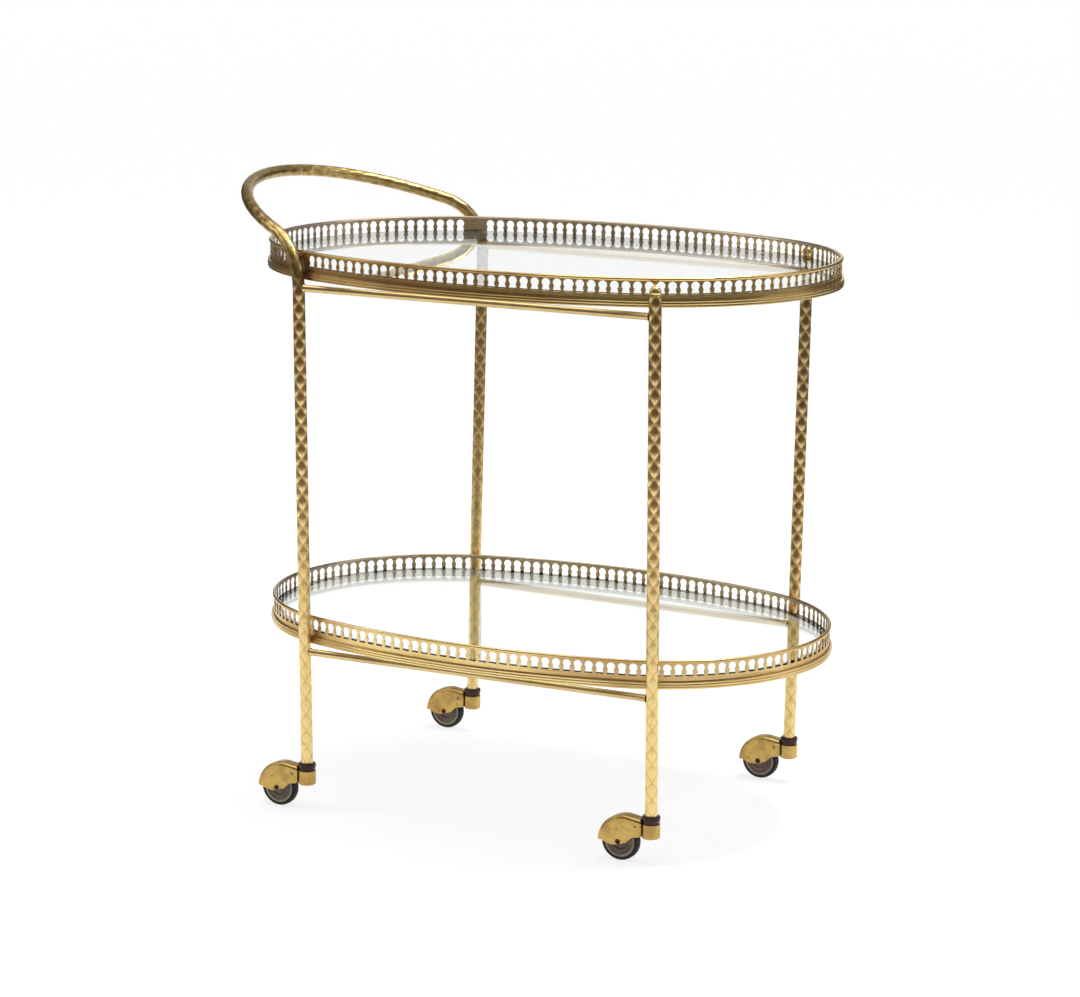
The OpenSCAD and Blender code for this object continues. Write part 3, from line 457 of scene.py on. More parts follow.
def brassFinish(name, bright, dark, scale=60, rough=0.28, spotting=0.5):  # plain aged brass
    material, graph, shader = newMaterial(name)
    place = graph.place()
    clouds = graph.noise(place, scale, 4, 0.6)
    colour = graph.blend(clouds.step(0.38, 0.72), bright, dark)
    spots = graph.noise(place, scale * 5, 2).step(0.63, 0.72)
    colour = graph.blend(spots * spotting, colour, gold["umber"])
    normal = bumped(graph, graph.noise(place, scale * 12, 3), 0.05 * mm, 0.5)
    feed(graph, shader, Base_Color=colour, Metallic=0.95, Roughness=rough + clouds * 0.15, Normal=normal)
    return material


def mouldedFinish(name, colour, worn, rough, scale=90):  # rubber and moulded plastic
    material, graph, shader = newMaterial(name)
    place = graph.place()
    dust = graph.noise(place, scale, 4, 0.65)
    feed(graph, shader, Base_Color=graph.blend(dust.step(0.42, 0.75), colour, worn),
         Specular_IOR_Level=0.3, Roughness=rough + dust * 0.15, Normal=bumped(graph, dust, 0.08 * mm, 0.5))
    return material


def glassFinish():
    material, graph, shader = newMaterial("clearGlass")
    wipes = graph.noise(graph.place().vector("MULTIPLY", (3, 14, 3)), 1.5, 3)
    feed(graph, shader, Base_Color=(0.93, 0.975, 0.955, 1), Transmission_Weight=1.0, IOR=1.5,
         Roughness=wipes.step(0.5, 0.8) * 0.02)
    return material


finishes = {
    "nearLeg": tubeFinish("embossedNearLeg"),
    "farLeg": tubeFinish("embossedFarLeg", 0.10),
    "handle": tubeFinish("embossedHandle", 0.02, 0.60),
    "upperRim": rimFinish("upperRimBrass", gold["tan"], gold["brown"], (0.16, 0.42)),
    "lowerRim": rimFinish("lowerRimBrass", gold["bright"], gold["tan"], (-0.10, 0.20)),
    "upperGallery": rimFinish("upperGalleryBrass", gold["tan"], gold["brown"], (0.12, 0.42)),
    "lowerGallery": rimFinish("lowerGalleryBrass", gold["straw"], gold["tan"], (-0.14, 0.12)),
    "rail": brassFinish("railBrass", (0.74, 0.54, 0.25), (0.60, 0.42, 0.19), 12, 0.24, 0.1),
    "finial": brassFinish("finialBrass", gold["bright"], gold["brown"], 90, 0.2, 0.4),
    "caster": brassFinish("casterBrass", (0.64, 0.43, 0.13), (0.42, 0.26, 0.08), 45, 0.30, 0.5),
    "screw": brassFinish("screwBrass", gold["tan"], gold["umber"], 200, 0.3, 0.4),
    "steel": brassFinish("stemSteel", (0.55, 0.54, 0.52), (0.35, 0.34, 0.33), 120, 0.25, 0.2),
    "axle": brassFinish("axleBrown", (0.12, 0.06, 0.03), gold["umber"], 200, 0.35, 0.3),
    "bush": mouldedFinish("bushBrown", (0.030, 0.008, 0.005), (0.055, 0.018, 0.011), 0.22),
    "tyre": mouldedFinish("tyreRubber", (0.008, 0.008, 0.009), (0.03, 0.028, 0.025), 0.55),
    "disc": mouldedFinish("wheelDisc", (0.10, 0.068, 0.052), (0.17, 0.13, 0.10), 0.24, 60),
    "discRing": mouldedFinish("wheelRing", (0.27, 0.23, 0.165), (0.16, 0.13, 0.09), 0.3, 60),
    "glass": glassFinish(),
}
print("stage: finishes")


# The oval of a tray: two end arcs and two long side arcs

trays = {"upper": {"endRadius": 218 * mm, "seam": 40 * mm, "wideAt": 139 * mm, "skipLeg": True},
         "lower": {"endRadius": 200 * mm, "seam": 55 * mm, "wideAt": None, "skipLeg": False}}
rimSize = {"height": 8.5 * mm, "proud": 3 * mm, "floor": 1.5 * mm, "web": 1.5 * mm, "ledge": 1.4 * mm,
           "ledgeTop": 9.4 * mm, "ledgeReach": 10 * mm, "reeds": 3, "crown": 0.35 * mm,
           "reedMargin": 0.1 * mm, "reedLap": 0.05 * mm, "reedBulge": 0.25 * mm, "reedFill": 0.98,
           "edge": 0.2 * mm, "channelGap": 0.15 * mm, "seamGap": 0.2 * mm}
tubeSize = {"radius": 7 * mm, "legGap": 0.3 * mm, "left": 204 * mm, "right": 226 * mm,
            "rimScrewUp": 4.3 * mm, "topRise": 13 * mm}
legOffset = rimSize["proud"] + tubeSize["legGap"] + tubeSize["radius"]


def measureTray(level):
    tray = trays[level]
    low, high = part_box(f"{level}_left_rim")
    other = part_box(f"{level}_right_rim")[1]
    tray["centre"] = Vector(((low.x + other.x) / 2, 0, low.z))
    tray["length"] = (other.x - low.x) / 2 - rimSize["proud"]
    tray["depth"] = (high.y - low.y) / 2 - rimSize["proud"]
    r = tray["endRadius"]
    tray["endX"] = tray["length"] - r
    tray["sideRadius"] = ((tray["endX"] ** 2 + tray["depth"] ** 2 - r * r)
                          / (2 * (tray["depth"] - r)))
    tray["sideY"] = tray["sideRadius"] - tray["depth"]
    tray["turn"] = math.atan2(tray["sideY"], tray["endX"])
    tray["sideLength"] = tray["sideRadius"] * (math.pi / 2 - tray["turn"])
    tray["endLength"] = r * 2 * tray["turn"]
    tray["half"] = 2 * tray["sideLength"] + tray["endLength"]


def ovalPlace(tray, s, inset=0.0):  # point at length s from the near middle, towards +X first
    half, side = tray["half"], tray["sideLength"]
    s = s % (2 * half)
    if s > half:
        x, y = ovalPlace(tray, 2 * half - s, inset)
        return -x, y
    if s < side:
        angle, radius, x, y = -math.pi / 2 + s / tray["sideRadius"], tray["sideRadius"], 0, tray["sideY"]
    elif s < side + tray["endLength"]:
        angle = -tray["turn"] + (s - side) / tray["endRadius"]
        radius, x, y = tray["endRadius"], tray["endX"], 0
    else:
        angle = tray["turn"] + (s - side - tray["endLength"]) / tray["sideRadius"]
        radius, x, y = tray["sideRadius"], 0, -tray["sideY"]
    return x + (radius - inset) * math.cos(angle), y + (radius - inset) * math.sin(angle)


def legDirection(tray, x):  # where the near face looks at a leg, x from the tray's middle
    off = tray["endRadius"] + legOffset
    if x >= tray["endX"] + off * math.cos(tray["turn"]):
        return -math.acos((x - tray["endX"]) / off)
    return -math.pi / 2 + math.asin(x / (tray["sideRadius"] + legOffset))


def lengthAt(tray, direction):
    if -direction <= tray["turn"]:
        return tray["sideLength"] + tray["endRadius"] * (tray["turn"] + direction)
    return tray["sideRadius"] * (math.pi / 2 + direction)


def seatDepth(tray, x):  # distance of a leg's axis from the long middle plane
    direction = legDirection(tray, x)
    if -direction <= tray["turn"]:
        return -(tray["endRadius"] + legOffset) * math.sin(direction)
    return -(tray["sideRadius"] + legOffset) * math.sin(direction) - tray["sideY"]


def legPlace(side, end, z):  # a leg's axis at height z
    x = tubeSize[end]
    low, high = seatDepth(trays["lower"], x), seatDepth(trays["upper"], x)
    lowZ, highZ = trays["lower"]["centre"].z, trays["upper"]["centre"].z
    y = low + (z - lowZ - tubeSize["rimScrewUp"]) * (high - low) / (highZ - lowZ)
    across = trays["upper"]["centre"].x + (x if end == "right" else -x)
    return Vector((across, -y if side == "near" else y, z))


for level in trays:
    measureTray(level)


# Embossed tubes: a round profile along a path, pressed in along two sets of spirals

def embossTree():
    tree, graph, given = newTree("embossedTube", {
        "Path": "Object", "Radius": "Float", "Depth": "Float", "Pitch": "Float", "Columns": "Float",
        "Groove": "Float", "Step": "Float", "Sides": "Int", "Material": "Material"})
    path = graph.add("GeometryNodeObjectInfo", {}, {0: given["Path"]}, "Geometry")
    even = graph.add("GeometryNodeResampleCurve", {"mode": "LENGTH"},
                     {"Curve": path, "Length": given["Step"]})
    length = graph.add("GeometryNodeSplineParameter", {}, {}, "Length")
    factor = graph.add("GeometryNodeSplineParameter", {}, {}, "Factor")
    marked = capture(graph, even, length)
    ring = graph.add("GeometryNodeCurveArc", {"mode": "RADIUS"},
                     {"Resolution": given["Sides"] + 1, "Radius": given["Radius"],
                      "Sweep Angle": 2 * math.pi})
    turned = capture(graph, ring, factor)
    skin = graph.add("GeometryNodeCurveToMesh", {}, {"Curve": marked[0], "Profile Curve": turned[0],
                                                     "Fill Caps": False})
    along, turn = marked[1], turned[1]
    up = along / given["Pitch"]
    spiralA = up + turn * given["Columns"]
    spiralB = up - turn * given["Columns"]
    nearA, nearB = spiralA.toNearest(), spiralB.toNearest()
    pillow = (nearA * nearB * 4.0).maths("POWER", nearA * nearB * 4.0, 0.55)
    crease = nearA.smallest(nearB).step(0.0, given["Groove"])
    rise = pillow * 0.72 + crease * 0.28
    normal = graph.add("GeometryNodeInputNormal")
    push = normal.times((rise - 1) * given["Depth"])
    pressed = graph.add("GeometryNodeSetPosition", {}, {"Geometry": skin, "Offset": push})
    uv = graph.add("ShaderNodeCombineXYZ", {}, {0: turn, 1: along, 2: 0.0})
    mapped = storeUv(graph, pressed, uv)
    welded = graph.add("GeometryNodeMergeByDistance", {}, {"Geometry": mapped, "Distance": 0.01 * mm})
    endTree(graph, welded, given["Material"])
    return tree


def capture(graph, geometry, value):  # keeps a float on the points, as (geometry, value)
    node = graph.tree.nodes.new("GeometryNodeCaptureAttribute")
    node.capture_items.new("FLOAT", "kept")
    graph.tree.links.new(geometry.socket, node.inputs[0])
    graph.tree.links.new(value.socket, node.inputs[1])
    return Wire(graph, node.outputs[0]), Wire(graph, node.outputs[1])


def storeUv(graph, geometry, vector):
    return graph.add("GeometryNodeStoreNamedAttribute", {"data_type": "FLOAT2", "domain": "CORNER"},
                     {"Geometry": geometry, "Name": "UVMap", "Value": vector})


tubeTree = embossTree()


def embossedTube(name, points, finish):
    path = pathCurve(name + "Path", points)
    mesh = grow(name, tubeTree, {
        "Path": path, "Radius": tubeSize["radius"], "Depth": emboss["depth"], "Pitch": emboss["pitch"],
        "Columns": float(emboss["columns"]), "Groove": emboss["groove"], "Step": emboss["step"],
        "Sides": emboss["sides"], "Material": finish})
    bpy.data.objects.remove(path)
    reshape(mesh, capEnds)
    addPiece(name + "Embossed", mesh, "root", None, 60, (name,))


def capEnds(shell):
    bmesh.ops.holes_fill(shell, edges=[edge for edge in shell.edges if edge.is_boundary])
    bmesh.ops.recalc_face_normals(shell, faces=shell.faces)


handle = {"bendDrop": 10.2 * mm, "bendRadius": 63.5 * mm, "tilt": 70.8, "toe": 23.5, "arcSteps": 90,
          "bendSteps": 24, "screwUp": 22.5 * mm}


def handlePath():  # up the near leg, round its bend and half the arch; the far half is its mirror
    bendZ = trays["upper"]["centre"].z - handle["bendDrop"]
    foot = legPlace("near", "left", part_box("near_left_bush")[0].z + bushSize["height"])
    start = legPlace("near", "left", bendZ)
    upwards = (start - foot).normalized()
    tilt, toe = math.radians(handle["tilt"]), math.radians(handle["toe"])
    rise = Vector((-math.sin(tilt), 0, math.cos(tilt)))
    inward = rise * math.cos(toe) + Vector((0, math.sin(toe), 0))
    turn = upwards.angle(inward)
    side = (inward - upwards * math.cos(turn)).normalized()
    points = [foot]
    for i in range(handle["bendSteps"] + 1):
        a = turn * i / handle["bendSteps"]
        points.append(start + handle["bendRadius"] * (upwards * math.sin(a) + side * (1 - math.cos(a))))
    end = points[-1]
    radius = -end.y / math.cos(toe)
    centre = end - rise * radius * math.sin(toe) + Vector((0, radius * math.cos(toe), 0))
    for i in range(1, handle["arcSteps"] // 2 + 1):
        a = toe + (math.pi / 2 - toe) * 2 * i / handle["arcSteps"]
        points.append(centre + radius * (rise * math.sin(a) - Vector((0, math.cos(a), 0))))
    return points + [Vector((p.x, -p.y, p.z)) for p in reversed(points[:-1])]


bushSize = {"height": 8.8 * mm, "soft": 0.5, "profile": [
    (0.0, 0.0), (8.9, 0.0), (9.3, 0.5), (9.2, 2.4), (9.5, 3.3), (9.95, 3.7), (10.0, 7.8), (9.3, 8.75),
    (7.2, 8.75), (5.6, 8.4), (5.6, 20.8), (0.0, 20.8)]}
embossedTube("handle_frame", handlePath(), finishes["handle"])
for side, finish in (("near", "nearLeg"), ("far", "farLeg")):
    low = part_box(f"{side}_right_bush")[0].z + bushSize["height"]
    high = trays["upper"]["centre"].z + tubeSize["topRise"]
    ends = [legPlace(side, "right", z) for z in (low, high)]
    embossedTube(f"{side}_right_leg", ends, finishes[finish])
print("stage: embossed tubes")


# Rims and galleries: made flat, then wrapped round the oval

def wrapTree():
    tree, graph, given = newTree("wrappedOnOval", {"Path": "Object", "Material": "Material"})
    x, y, z = graph.add("GeometryNodeInputPosition").axes()
    path = graph.add("GeometryNodeObjectInfo", {}, {0: given["Path"]}, "Geometry")
    total = graph.add("GeometryNodeCurveLength", {}, {0: path})
    length = x.maths("WRAP", x, total, 0.0)
    spot = graph.add("GeometryNodeSampleCurve", {"mode": "LENGTH", "use_all_curves": True},
                     {"Curves": path, "Length": length}, "Position")
    tangent = Wire(graph, spot.socket.node.outputs["Tangent"])
    reach = tangent.vector("CROSS_PRODUCT", (0, 0, 1)).times(y)
    lift = graph.add("ShaderNodeCombineXYZ", {}, {0: 0.0, 1: 0.0, 2: z})
    place = spot.vector("ADD", reach).vector("ADD", lift)
    mapped = storeUv(graph, given["Geometry"], graph.add("ShaderNodeCombineXYZ", {}, {0: x, 1: z}))
    mapped = graph.add("GeometryNodeStoreNamedAttribute", {"data_type": "FLOAT", "domain": "POINT"},
                       {"Geometry": mapped, "Name": "inward", "Value": 0.0 - y})
    wrapped = graph.add("GeometryNodeSetPosition", {}, {"Geometry": mapped, "Position": place})
    endTree(graph, wrapped, given["Material"])
    return tree


def repeatTree():  # one cell of the gallery, repeated along +X
    tree, graph, given = newTree("repeatedCells", {
        "First": "Float", "Pitch": "Float", "Count": "Int", "Material": "Material"})
    start = graph.add("ShaderNodeCombineXYZ", {}, {0: given["First"]})
    stride = graph.add("ShaderNodeCombineXYZ", {}, {0: given["Pitch"]})
    places = graph.add("GeometryNodeMeshLine", {"mode": "OFFSET"},
                       {"Count": given["Count"], "Start Location": start, "Offset": stride})
    cells = graph.add("GeometryNodeInstanceOnPoints", {},
                      {"Points": places, "Instance": given["Geometry"]})
    endTree(graph, cells, given["Material"])
    return tree


ovalWrap = wrapTree()
cellRow = repeatTree()


def extruded(name, outline, start, end, step=3 * mm):  # outline (y, z) along +X, with end caps
    count = max(2, round((end - start) / step)) + 1
    n = len(outline)
    points = [(start + (end - start) * i / (count - 1), y, z) for i in range(count) for y, z in outline]
    faces = [(i * n + j, (i + 1) * n + j, (i + 1) * n + (j + 1) % n, i * n + (j + 1) % n)
             for i in range(count - 1) for j in range(n)]
    faces += [tuple(range(n)), tuple(reversed(range((count - 1) * n, count * n)))]
    return meshOf(name, points, faces)


strip = {"thick": 1.2 * mm, "top": 31.5 * mm, "beadRadius": 1.9 * mm}


def rimOutline():  # channel, ledge and reeded moulding; (outwards, up) from the gallery's face
    s = rimSize
    webFace = -strip["thick"] - s["channelGap"]
    reedRadius = s["height"] / s["reeds"] / 2 + s["reedLap"]
    reedStep = (s["height"] - 2 * reedRadius - 2 * s["reedMargin"]) / (s["reeds"] - 1)
    gap, edge, back = s["channelGap"], s["edge"], webFace - s["web"]
    reach, top, under = -s["ledgeReach"], s["ledgeTop"], s["ledgeTop"] - s["ledge"]
    outline = [(gap, s["floor"]), (gap, s["height"] - edge), (gap + edge, s["height"])]
    for i in reversed(range(s["reeds"])):
        away = abs(2 * i - s["reeds"] + 1) / (s["reeds"] - 1)
        face, middle = s["proud"] - s["crown"] * away, s["reedMargin"] + reedRadius + reedStep * i
        outline += [(face - s["reedBulge"] * t * t, middle + reedRadius * s["reedFill"] * t)
                    for t in (0.95, 0.6, 0.2, -0.2, -0.6, -0.95)]
    outline += [(gap + edge, 0), (back + edge, 0), (back, edge), (back, under), (reach + edge, under),
                (reach, under + edge), (reach, top - edge), (reach + edge, top), (webFace - edge, top),
                (webFace, top - edge), (webFace, s["floor"])]
    return outline


holeSize = {"pitch": 12.2 * mm, "foot": 13.9 * mm, "height": 13.4 * mm, "headRadius": 4.6 * mm,
            "footHalf": 4.1 * mm, "wideExtra": 2 * mm, "softEdge": 0.3 * mm, "headDip": 0.69,
            "side": [(-0.9, 0), (-0.25, 0.3), (0, 0.9), (0, 2), (-0.45, 3.4), (-0.72, 4.6)]}


def holeOutline(extra):  # the keyhole's outline from its foot's left corner, clockwise
    h = holeSize
    wide, foot = extra / 2, h["foot"]
    headZ = foot + h["height"] - h["headRadius"]
    right = [(h["footHalf"] + wide + x * mm, foot + z * mm) for x, z in h["side"]]
    right += arcPoints((wide, headZ), h["headRadius"], -math.degrees(math.asin(h["headDip"])), 90, 9)
    left = [(-x, z) for x, z in reversed(right)]
    if not extra:
        left = left[1:]
    return right + left


def steppedOut(outline, off):  # an outline moved outwards by off
    ring = []
    n = len(outline)
    for i, (x, z) in enumerate(outline):
        ax, az = outline[i - 1]
        bx, bz = outline[(i + 1) % n]
        dx, dz = bx - ax, bz - az
        size = math.hypot(dx, dz)
        ring.append((x + off * dz / size, z - off * dx / size))
    return ring


def cellMesh(width, holed=True, extra=0.0):  # one flat cell of the strip, centred on x = 0
    low, high = rimSize["floor"], strip["top"] - strip["beadRadius"]
    frameCorners = [(-width / 2, low), (width / 2, low), (width / 2, high), (-width / 2, high)]
    if not holed:
        points = [(x, y, z) for y in (0, -strip["thick"]) for x, z in frameCorners]
        return meshOf("cell", points, [(0, 1, 2, 3), (7, 6, 5, 4), (0, 4, 5, 1), (2, 6, 7, 3)])
    hole = holeOutline(extra)
    soft = steppedOut(hole, holeSize["softEdge"])
    n = len(hole)
    points, faces = [], []
    loops = [[Vector((x, z, 0)) for x, z in ring] for ring in (frameCorners, soft)]
    for y in (0, -strip["thick"]):
        faces += [tuple(len(points) + i for i in face) for face in tessellate_polygon(loops)]
        points += [(x, y, z) for x, z in frameCorners + soft]
    for y in (-holeSize["softEdge"], -strip["thick"] + holeSize["softEdge"]):
        points += [(x, y, z) for x, z in hole]
    # Points in order: front corners, front ring, back corners, back ring, then the two inner rings
    other = 4 + n
    front, back, innerFront, innerBack = 4, 4 + other, 2 * other, 2 * other + n
    for a, b in ((front, innerFront), (innerFront, innerBack), (innerBack, back)):
        faces += [(a + i, a + (i + 1) % n, b + (i + 1) % n, b + i) for i in range(n)]
    faces += [(0, 1, other + 1, other), (2, 3, other + 3, other + 2)]
    return meshOf("cell", points, faces)


def trimmed(mesh, low, high):  # keeps what lies between two places along X, with closed cuts
    def cutEnds(shell):
        for place, direction in ((low, -1), (high, 1)):
            geometry = shell.verts[:] + shell.edges[:] + shell.faces[:]
            cut = bmesh.ops.bisect_plane(shell, geom=geometry, plane_co=(place, 0, 0),
                                         plane_no=(direction, 0, 0), clear_outer=True, dist=1e-7)
            edges = [item for item in cut["geom_cut"] if isinstance(item, bmesh.types.BMEdge)]
            bmesh.ops.holes_fill(shell, edges=edges)
    reshape(mesh, cutEnds)
    return mesh


def openingPitch(tray):  # where the rows start, and their pitch on the free and handle sides
    start = lengthAt(tray, legDirection(tray, tubeSize["left"]))
    if tray["skipLeg"]:
        start = handleScrewLength(tray)
    free, handled = tray["half"] + 2 * start, tray["half"] - 2 * start
    return start, free / round(free / holeSize["pitch"]), handled / round(handled / holeSize["pitch"])


def seamLength(tray):  # the seam is in the middle of the web nearest its place
    start, pitch, _ = openingPitch(tray)
    wanted = tray["sideRadius"] * math.asin(tray["seam"] / tray["sideRadius"])
    return round((wanted + start) / pitch) * pitch - start


def cellRows(tray):  # every cell round the ring: (middle, width, kind)
    start, freePitch, handlePitch = openingPitch(tray)
    half = tray["half"]
    wide = None
    if tray["wideAt"]:
        wanted = tray["sideRadius"] * math.asin(tray["wideAt"] / tray["sideRadius"])
        wide = math.floor((wanted + start) / freePitch)
    rows = []
    for first, pitch, length in ((-start, freePitch, half + 2 * start),
                                 (half + start, handlePitch, half - 2 * start)):
        count = round(length / pitch)
        for i in range(count):
            kind = "plain" if tray["skipLeg"] and i in (0, count - 1) else "hole"
            rows.append((first + (i + 0.5) * pitch, pitch, "wide" if first < 0 and i == wide else kind))
    return rows


def handleScrewLength(tray):  # where the bent tube crosses the gallery
    point = screwOnTube()
    x, y = -(point.x - tray["centre"].x), point.y
    direction = math.atan2(y, x - tray["endX"])
    if -direction > tray["turn"]:
        direction = math.atan2(y - tray["sideY"], x)
    return lengthAt(tray, direction)


def screwOnTube():
    points = handlePath()[1:handle["bendSteps"] + 2]
    wanted = trays["upper"]["centre"].z + handle["screwUp"]
    for a, b in zip(points, points[1:]):
        if a.z <= wanted <= b.z:
            return a.lerp(b, (wanted - a.z) / (b.z - a.z))
    return points[-1]


def halfSpan(tray, end):  # where one half of a ring starts and ends, clear of the seams
    seam, half, gap = seamLength(tray), tray["half"], rimSize["seamGap"] / 2
    if end == "right":
        return seam + gap, half - seam - gap
    return half - seam + gap, 2 * half + seam - gap


def galleryHalf(level, end, path, finish):
    tray = trays[level]
    low, high = halfSpan(tray, end)
    rows = cellRows(tray)
    rows += [(place + 2 * tray["half"], width, kind) for place, width, kind in rows]
    parts = []
    run = []
    for place, width, kind in rows:
        if place + width / 2 < low or place - width / 2 > high:
            continue
        whole = place - width / 2 > low and place + width / 2 < high
        if kind == "hole" and whole:
            run.append((place, width))
            continue
        cell = cellMesh(width, kind != "plain", holeSize["wideExtra"] if kind == "wide" else 0.0)
        cell.transform(Matrix.Translation((place, 0, 0)))
        parts.append(trimmed(cell, low, high))
    runs = []
    for place, width in run:
        last = runs[-1] if runs else None
        if last and abs(last[-1] + width - place) < 1e-6 and abs(last[0] - width) < 1e-9:
            last.append(place)
        else:
            runs.append([width, place])
    for width, first, *others in runs:
        parts.append(grow("cells", cellRow, {"First": first, "Pitch": width, "Count": 1 + len(others),
                                             "Material": finish}, cellMesh(width)))
    beadZ = strip["top"] - strip["beadRadius"]
    bead = arcPoints((-strip["thick"] / 2, beadZ), strip["beadRadius"], 0, 360 * 23 / 24, 23)
    parts.append(extruded("bead", bead, low, high))
    flat = joined("flat", parts)
    outwardNormals(flat)
    mesh = grow(f"{level}_{end}_gallery", ovalWrap, {"Path": path, "Material": finish}, flat)
    addPiece(f"{level}_{end}_galleryPierced", mesh, "root", None, 32,
             (f"{level}_{end}_gallery",))


def rimHalf(level, end, path, finish):
    flat = extruded("rim", rimOutline(), *halfSpan(trays[level], end))
    outwardNormals(flat)
    mesh = grow(f"{level}_{end}_rim", ovalWrap, {"Path": path, "Material": finish}, flat)
    addPiece(f"{level}_{end}_rimReeded", mesh, "root", None, 40, (f"{level}_{end}_rim",))


glassSize = {"thick": 5 * mm, "gap": 0.3 * mm, "arris": 0.7 * mm, "points": 360}


def glassPlate(level):
    tray = trays[level]
    low = tray["centre"].z + rimSize["ledgeTop"]
    inset = strip["thick"] / 2 + strip["beadRadius"] + glassSize["gap"]
    edge, thick, n = glassSize["arris"], glassSize["thick"], glassSize["points"]
    rings = [(inset + edge, low), (inset, low + edge), (inset, low + thick - edge),
             (inset + edge, low + thick)]
    points = []
    for off, z in rings:
        for i in range(n):
            x, y = ovalPlace(tray, 2 * tray["half"] * i / n, off)
            points.append((tray["centre"].x + x, y, z))
    faces = [(r * n + i, r * n + (i + 1) % n, (r + 1) * n + (i + 1) % n, (r + 1) * n + i)
             for r in range(3) for i in range(n)]
    faces += [tuple(reversed(range(n))), tuple(range(3 * n, 4 * n))]
    mesh = meshOf(f"{level}_glass", points, faces)
    addPiece(f"{level}_glassPlate", mesh, f"{level}_plate", finishes["glass"], 30,
             (f"{level}_glass",))


for level, tray in trays.items():
    count = 900
    ring = [ovalPlace(tray, 2 * tray["half"] * i / count) for i in range(count)]
    path = pathCurve(level + "Oval", [(tray["centre"].x + x, y, tray["centre"].z) for x, y in ring], True)
    for end in ("left", "right"):
        galleryHalf(level, end, path, finishes[level + "Gallery"])
        rimHalf(level, end, path, finishes[level + "Rim"])
    bpy.data.objects.remove(path)
    glassPlate(level)
print("stage: galleries, rims and glass")


# Turned parts

def turned(name, profile, place, axis=Vector((0, 0, 1)), steps=48, closed=False):
    # profile is (radius, height) upwards; radius 0 makes a pole
    turn = Vector((0, 0, 1)).rotation_difference(axis).to_matrix()
    points = []
    rings = []
    for radius, height in profile:
        if radius < 1e-9:
            rings.append([len(points)])
            points.append(Vector((0, 0, height)))
        else:
            rings.append(list(range(len(points), len(points) + steps)))
            points += [Vector((radius * math.cos(2 * math.pi * i / steps),
                               radius * math.sin(2 * math.pi * i / steps), height)) for i in range(steps)]
    faces = []
    pairs = list(zip(rings, rings[1:])) + ([(rings[-1], rings[0])] if closed else [])
    for low, high in pairs:
        for i in range(steps):
            j = (i + 1) % steps
            if len(low) == 1:
                faces.append((low[0], high[j], high[i]))
            elif len(high) == 1:
                faces.append((low[i], low[j], high[0]))
            else:
                faces.append((low[i], low[j], high[j], high[i]))
    mesh = meshOf(name, [place + turn @ p for p in points], faces)
    outwardNormals(mesh)
    return mesh


def rounded(corners, radius, steps=4):  # a profile with its inner corners rounded
    path = [corners[0]]
    for a, b, c in zip(corners, corners[1:], corners[2:]):
        ab = Vector((a[0] - b[0], a[1] - b[1]))
        cb = Vector((c[0] - b[0], c[1] - b[1]))
        reach = min(radius, ab.length / 2.05, cb.length / 2.05)
        start, end = Vector(b) + ab.normalized() * reach, Vector(b) + cb.normalized() * reach
        for i in range(steps + 1):
            t = i / steps
            path.append(tuple(start * (1 - t) ** 2 + Vector(b) * 2 * t * (1 - t) + end * t * t))
    return path + [corners[-1]]


finial = {"collarRadius": 6.4 * mm, "collarHeight": 1.6 * mm, "neck": 5 * mm,
          "ball": 6.2 * mm, "ballRise": 5 * mm, "plug": 5.6 * mm, "plugLength": 6.5 * mm, "seat": 0.05 * mm,
          "neckShare": 0.93, "ballSunk": 0.5 * mm, "soft": 0.45 * mm}


def finialPiece(side):
    f = finial
    top = legPlace(side, "right", trays["upper"]["centre"].z + tubeSize["topRise"])
    below = legPlace(side, "right", trays["upper"]["centre"].z)
    foot = f["collarHeight"]
    startAngle = -math.degrees(math.asin((f["ballRise"] - foot - f["ballSunk"]) / f["ball"]))
    ball = arcPoints((0, f["ballRise"]), f["ball"], startAngle, 88, 14)
    profile = rounded([(0.0, -f["plugLength"]), (f["plug"], -f["plugLength"]), (f["plug"], f["seat"]),
                       (f["collarRadius"], f["seat"]), (f["collarRadius"], foot),
                       (f["neck"] * f["neckShare"], foot + 0.1 * mm)], f["soft"])
    profile += ball + [(0.0, f["ballRise"] + f["ball"])]
    mesh = turned(f"{side}_finial", profile, top, (top - below).normalized())
    addPiece(f"{side}_finialTurned", mesh, "root", finishes["finial"], 45,
             (f"{side}_finial",))


rail = {"radius": 4 * mm, "drop": 8.5 * mm, "bead": 0.7 * mm, "beadLength": 2.6 * mm, "lip": 0.5 * mm,
        "sunk": 0.25 * mm}


def railPiece(level, side):
    z = trays[level]["centre"].z - rail["drop"]
    start = legPlace(side, "left", z)
    span = legPlace(side, "right", z) - start
    clear = tubeSize["radius"] - rail["sunk"]
    length = span.length
    r, bead, reach = rail["radius"], rail["bead"], rail["beadLength"]
    end = [(0.0, clear), (r + bead, clear), (r + bead, clear + rail["lip"]),
           (r + bead * 0.6, clear + reach * 0.5), (r, clear + reach)]
    profile = end + [(r, length * t) for t in (0.2, 0.4, 0.6, 0.8)]
    profile += [(radius, length - height) for radius, height in reversed(end)]
    name = f"{level}_{side}_rail"
    mesh = turned(name, profile, start, span.normalized(), 32)
    addPiece(name + "Soldered", mesh, "root", finishes["rail"], 50, (name,))


for side in ("near", "far"):
    finialPiece(side)
    for level in trays:
        railPiece(level, side)


# Casters

def smoothCopy(node):  # a CAD solid's own shape as one welded, smoothed mesh
    shell = bmesh.new()
    shell.from_mesh(frame["nodes"][node].data)
    bmesh.ops.remove_doubles(shell, verts=shell.verts, dist=0.002 * mm)
    bmesh.ops.dissolve_limit(shell, angle_limit=math.radians(0.5), verts=shell.verts, edges=shell.edges)
    mesh = bpy.data.meshes.new(node)
    shell.to_mesh(mesh)
    shell.free()
    return mesh


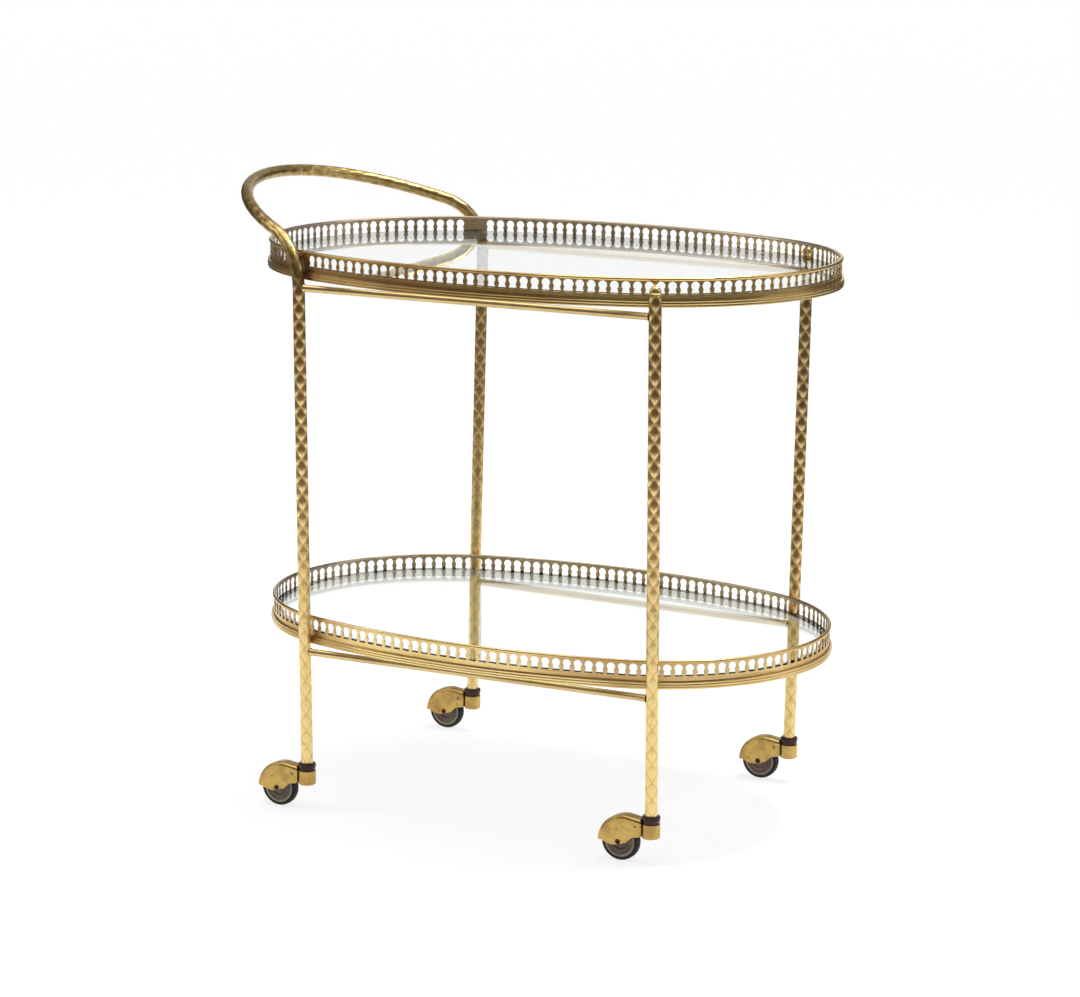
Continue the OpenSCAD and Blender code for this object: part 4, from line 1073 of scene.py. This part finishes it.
caster = {"wheelZ": 22 * mm, "trail": 35.5 * mm, "footZ": 54.5 * mm}


def bushPiece(prefix, axis):
    low = caster["footZ"] - bushSize["height"]
    profile = rounded(bushSize["profile"], bushSize["soft"])
    mesh = turned(prefix + "bush", [(r * mm, z * mm) for r, z in profile], axis + Vector((0, 0, low)))
    addPiece(prefix + "bushTurned", mesh, "root", finishes["bush"], 50, (prefix + "bush",))


# One side of each of the parts on the axle: (radius, distance from the wheel's middle plane), in mm
disc = {"side": [(2.25, 7.5), (4.6, 7.5), (4.6, 3.0), (9.0, 2.75), (9.6, 4.1), (11.4, 4.2), (12.0, 3.1),
                 (15.4, 3.2), (15.9, 4.7), (18.1, 4.8), (18.35, 4.2)], "soft": 0.5, "ringFrom": 15.6 * mm}
tyre = {"side": [(18.45, 5.4), (19.6, 5.45), (20.6, 5.1), (21.4, 4.3), (21.85, 3.2), (22.0, 1.8)]}
eyelet = {"side": [(1.2, 9.55), (1.5, 9.75), (2.6, 9.7), (3.15, 9.3), (3.2, 9.02), (2.2, 9.0)]}
sideways = Vector((0, -1, 0))


def onAxle(name, side, axle, steps):  # a ring turned round the axle, alike on both sides
    profile = [(r * mm, -z * mm) for r, z in side] + [(r * mm, z * mm) for r, z in reversed(side)]
    return turned(name, profile, axle, sideways, steps, True)


def axleParts(prefix, axle, roller, fork):
    mesh = onAxle(prefix + "wheel", rounded(disc["side"], disc["soft"], 3), axle, 64)
    addPiece(prefix + "wheelDisc", mesh, roller, finishes["disc"], 45, (prefix + "wheel",))
    mesh.materials.append(finishes["discRing"])
    for face in mesh.polygons:
        if (face.center - axle).cross(sideways).length > disc["ringFrom"]:
            face.material_index = 1
    mesh = onAxle(prefix + "tyre", tyre["side"], axle, 72)
    addPiece(prefix + "tyreRing", mesh, roller, finishes["tyre"], 50, (prefix + "tyre",))
    mesh = onAxle(prefix + "axle", eyelet["side"], axle, 32)
    addPiece(prefix + "axleEyelet", mesh, fork, finishes["axle"], 45, (prefix + "axle",))


for side, end in corners:
    prefix = f"{side}_{end}_"
    joint = next(j for j in frame["joints"] if j["name"] == prefix + "swivel")
    foot = Vector((joint["pos_m"][0], joint["pos_m"][1], 0))
    axle = foot + Vector((-caster["trail"], 0, caster["wheelZ"]))
    bushPiece(prefix, foot)
    axleParts(prefix, axle, prefix + "roller", prefix + "caster")
    for node, slot in (("hood", "caster_brass"), ("socket", "caster_brass"), ("rivet", "screw_brass")):
        finish = finishes["screw"] if node == "rivet" else finishes["caster"]
        addPiece(prefix + node + "Pressed", smoothCopy(prefix + node), prefix + "caster", finish, 35,
                 (prefix + node,))
print("stage: casters")


# CAD nodes that stay as they are

kept = {f"{side}_{end}_stem": "steel" for side, end in corners}
for node in ("upper_rim_screws", "lower_rim_screws", "handle_screws", "handle_spacers"):
    kept[node] = "screw"
for node, finish in kept.items():
    mesh = frame["nodes"][node].data
    mesh.materials.clear()
    mesh.materials.append(finishes[finish])
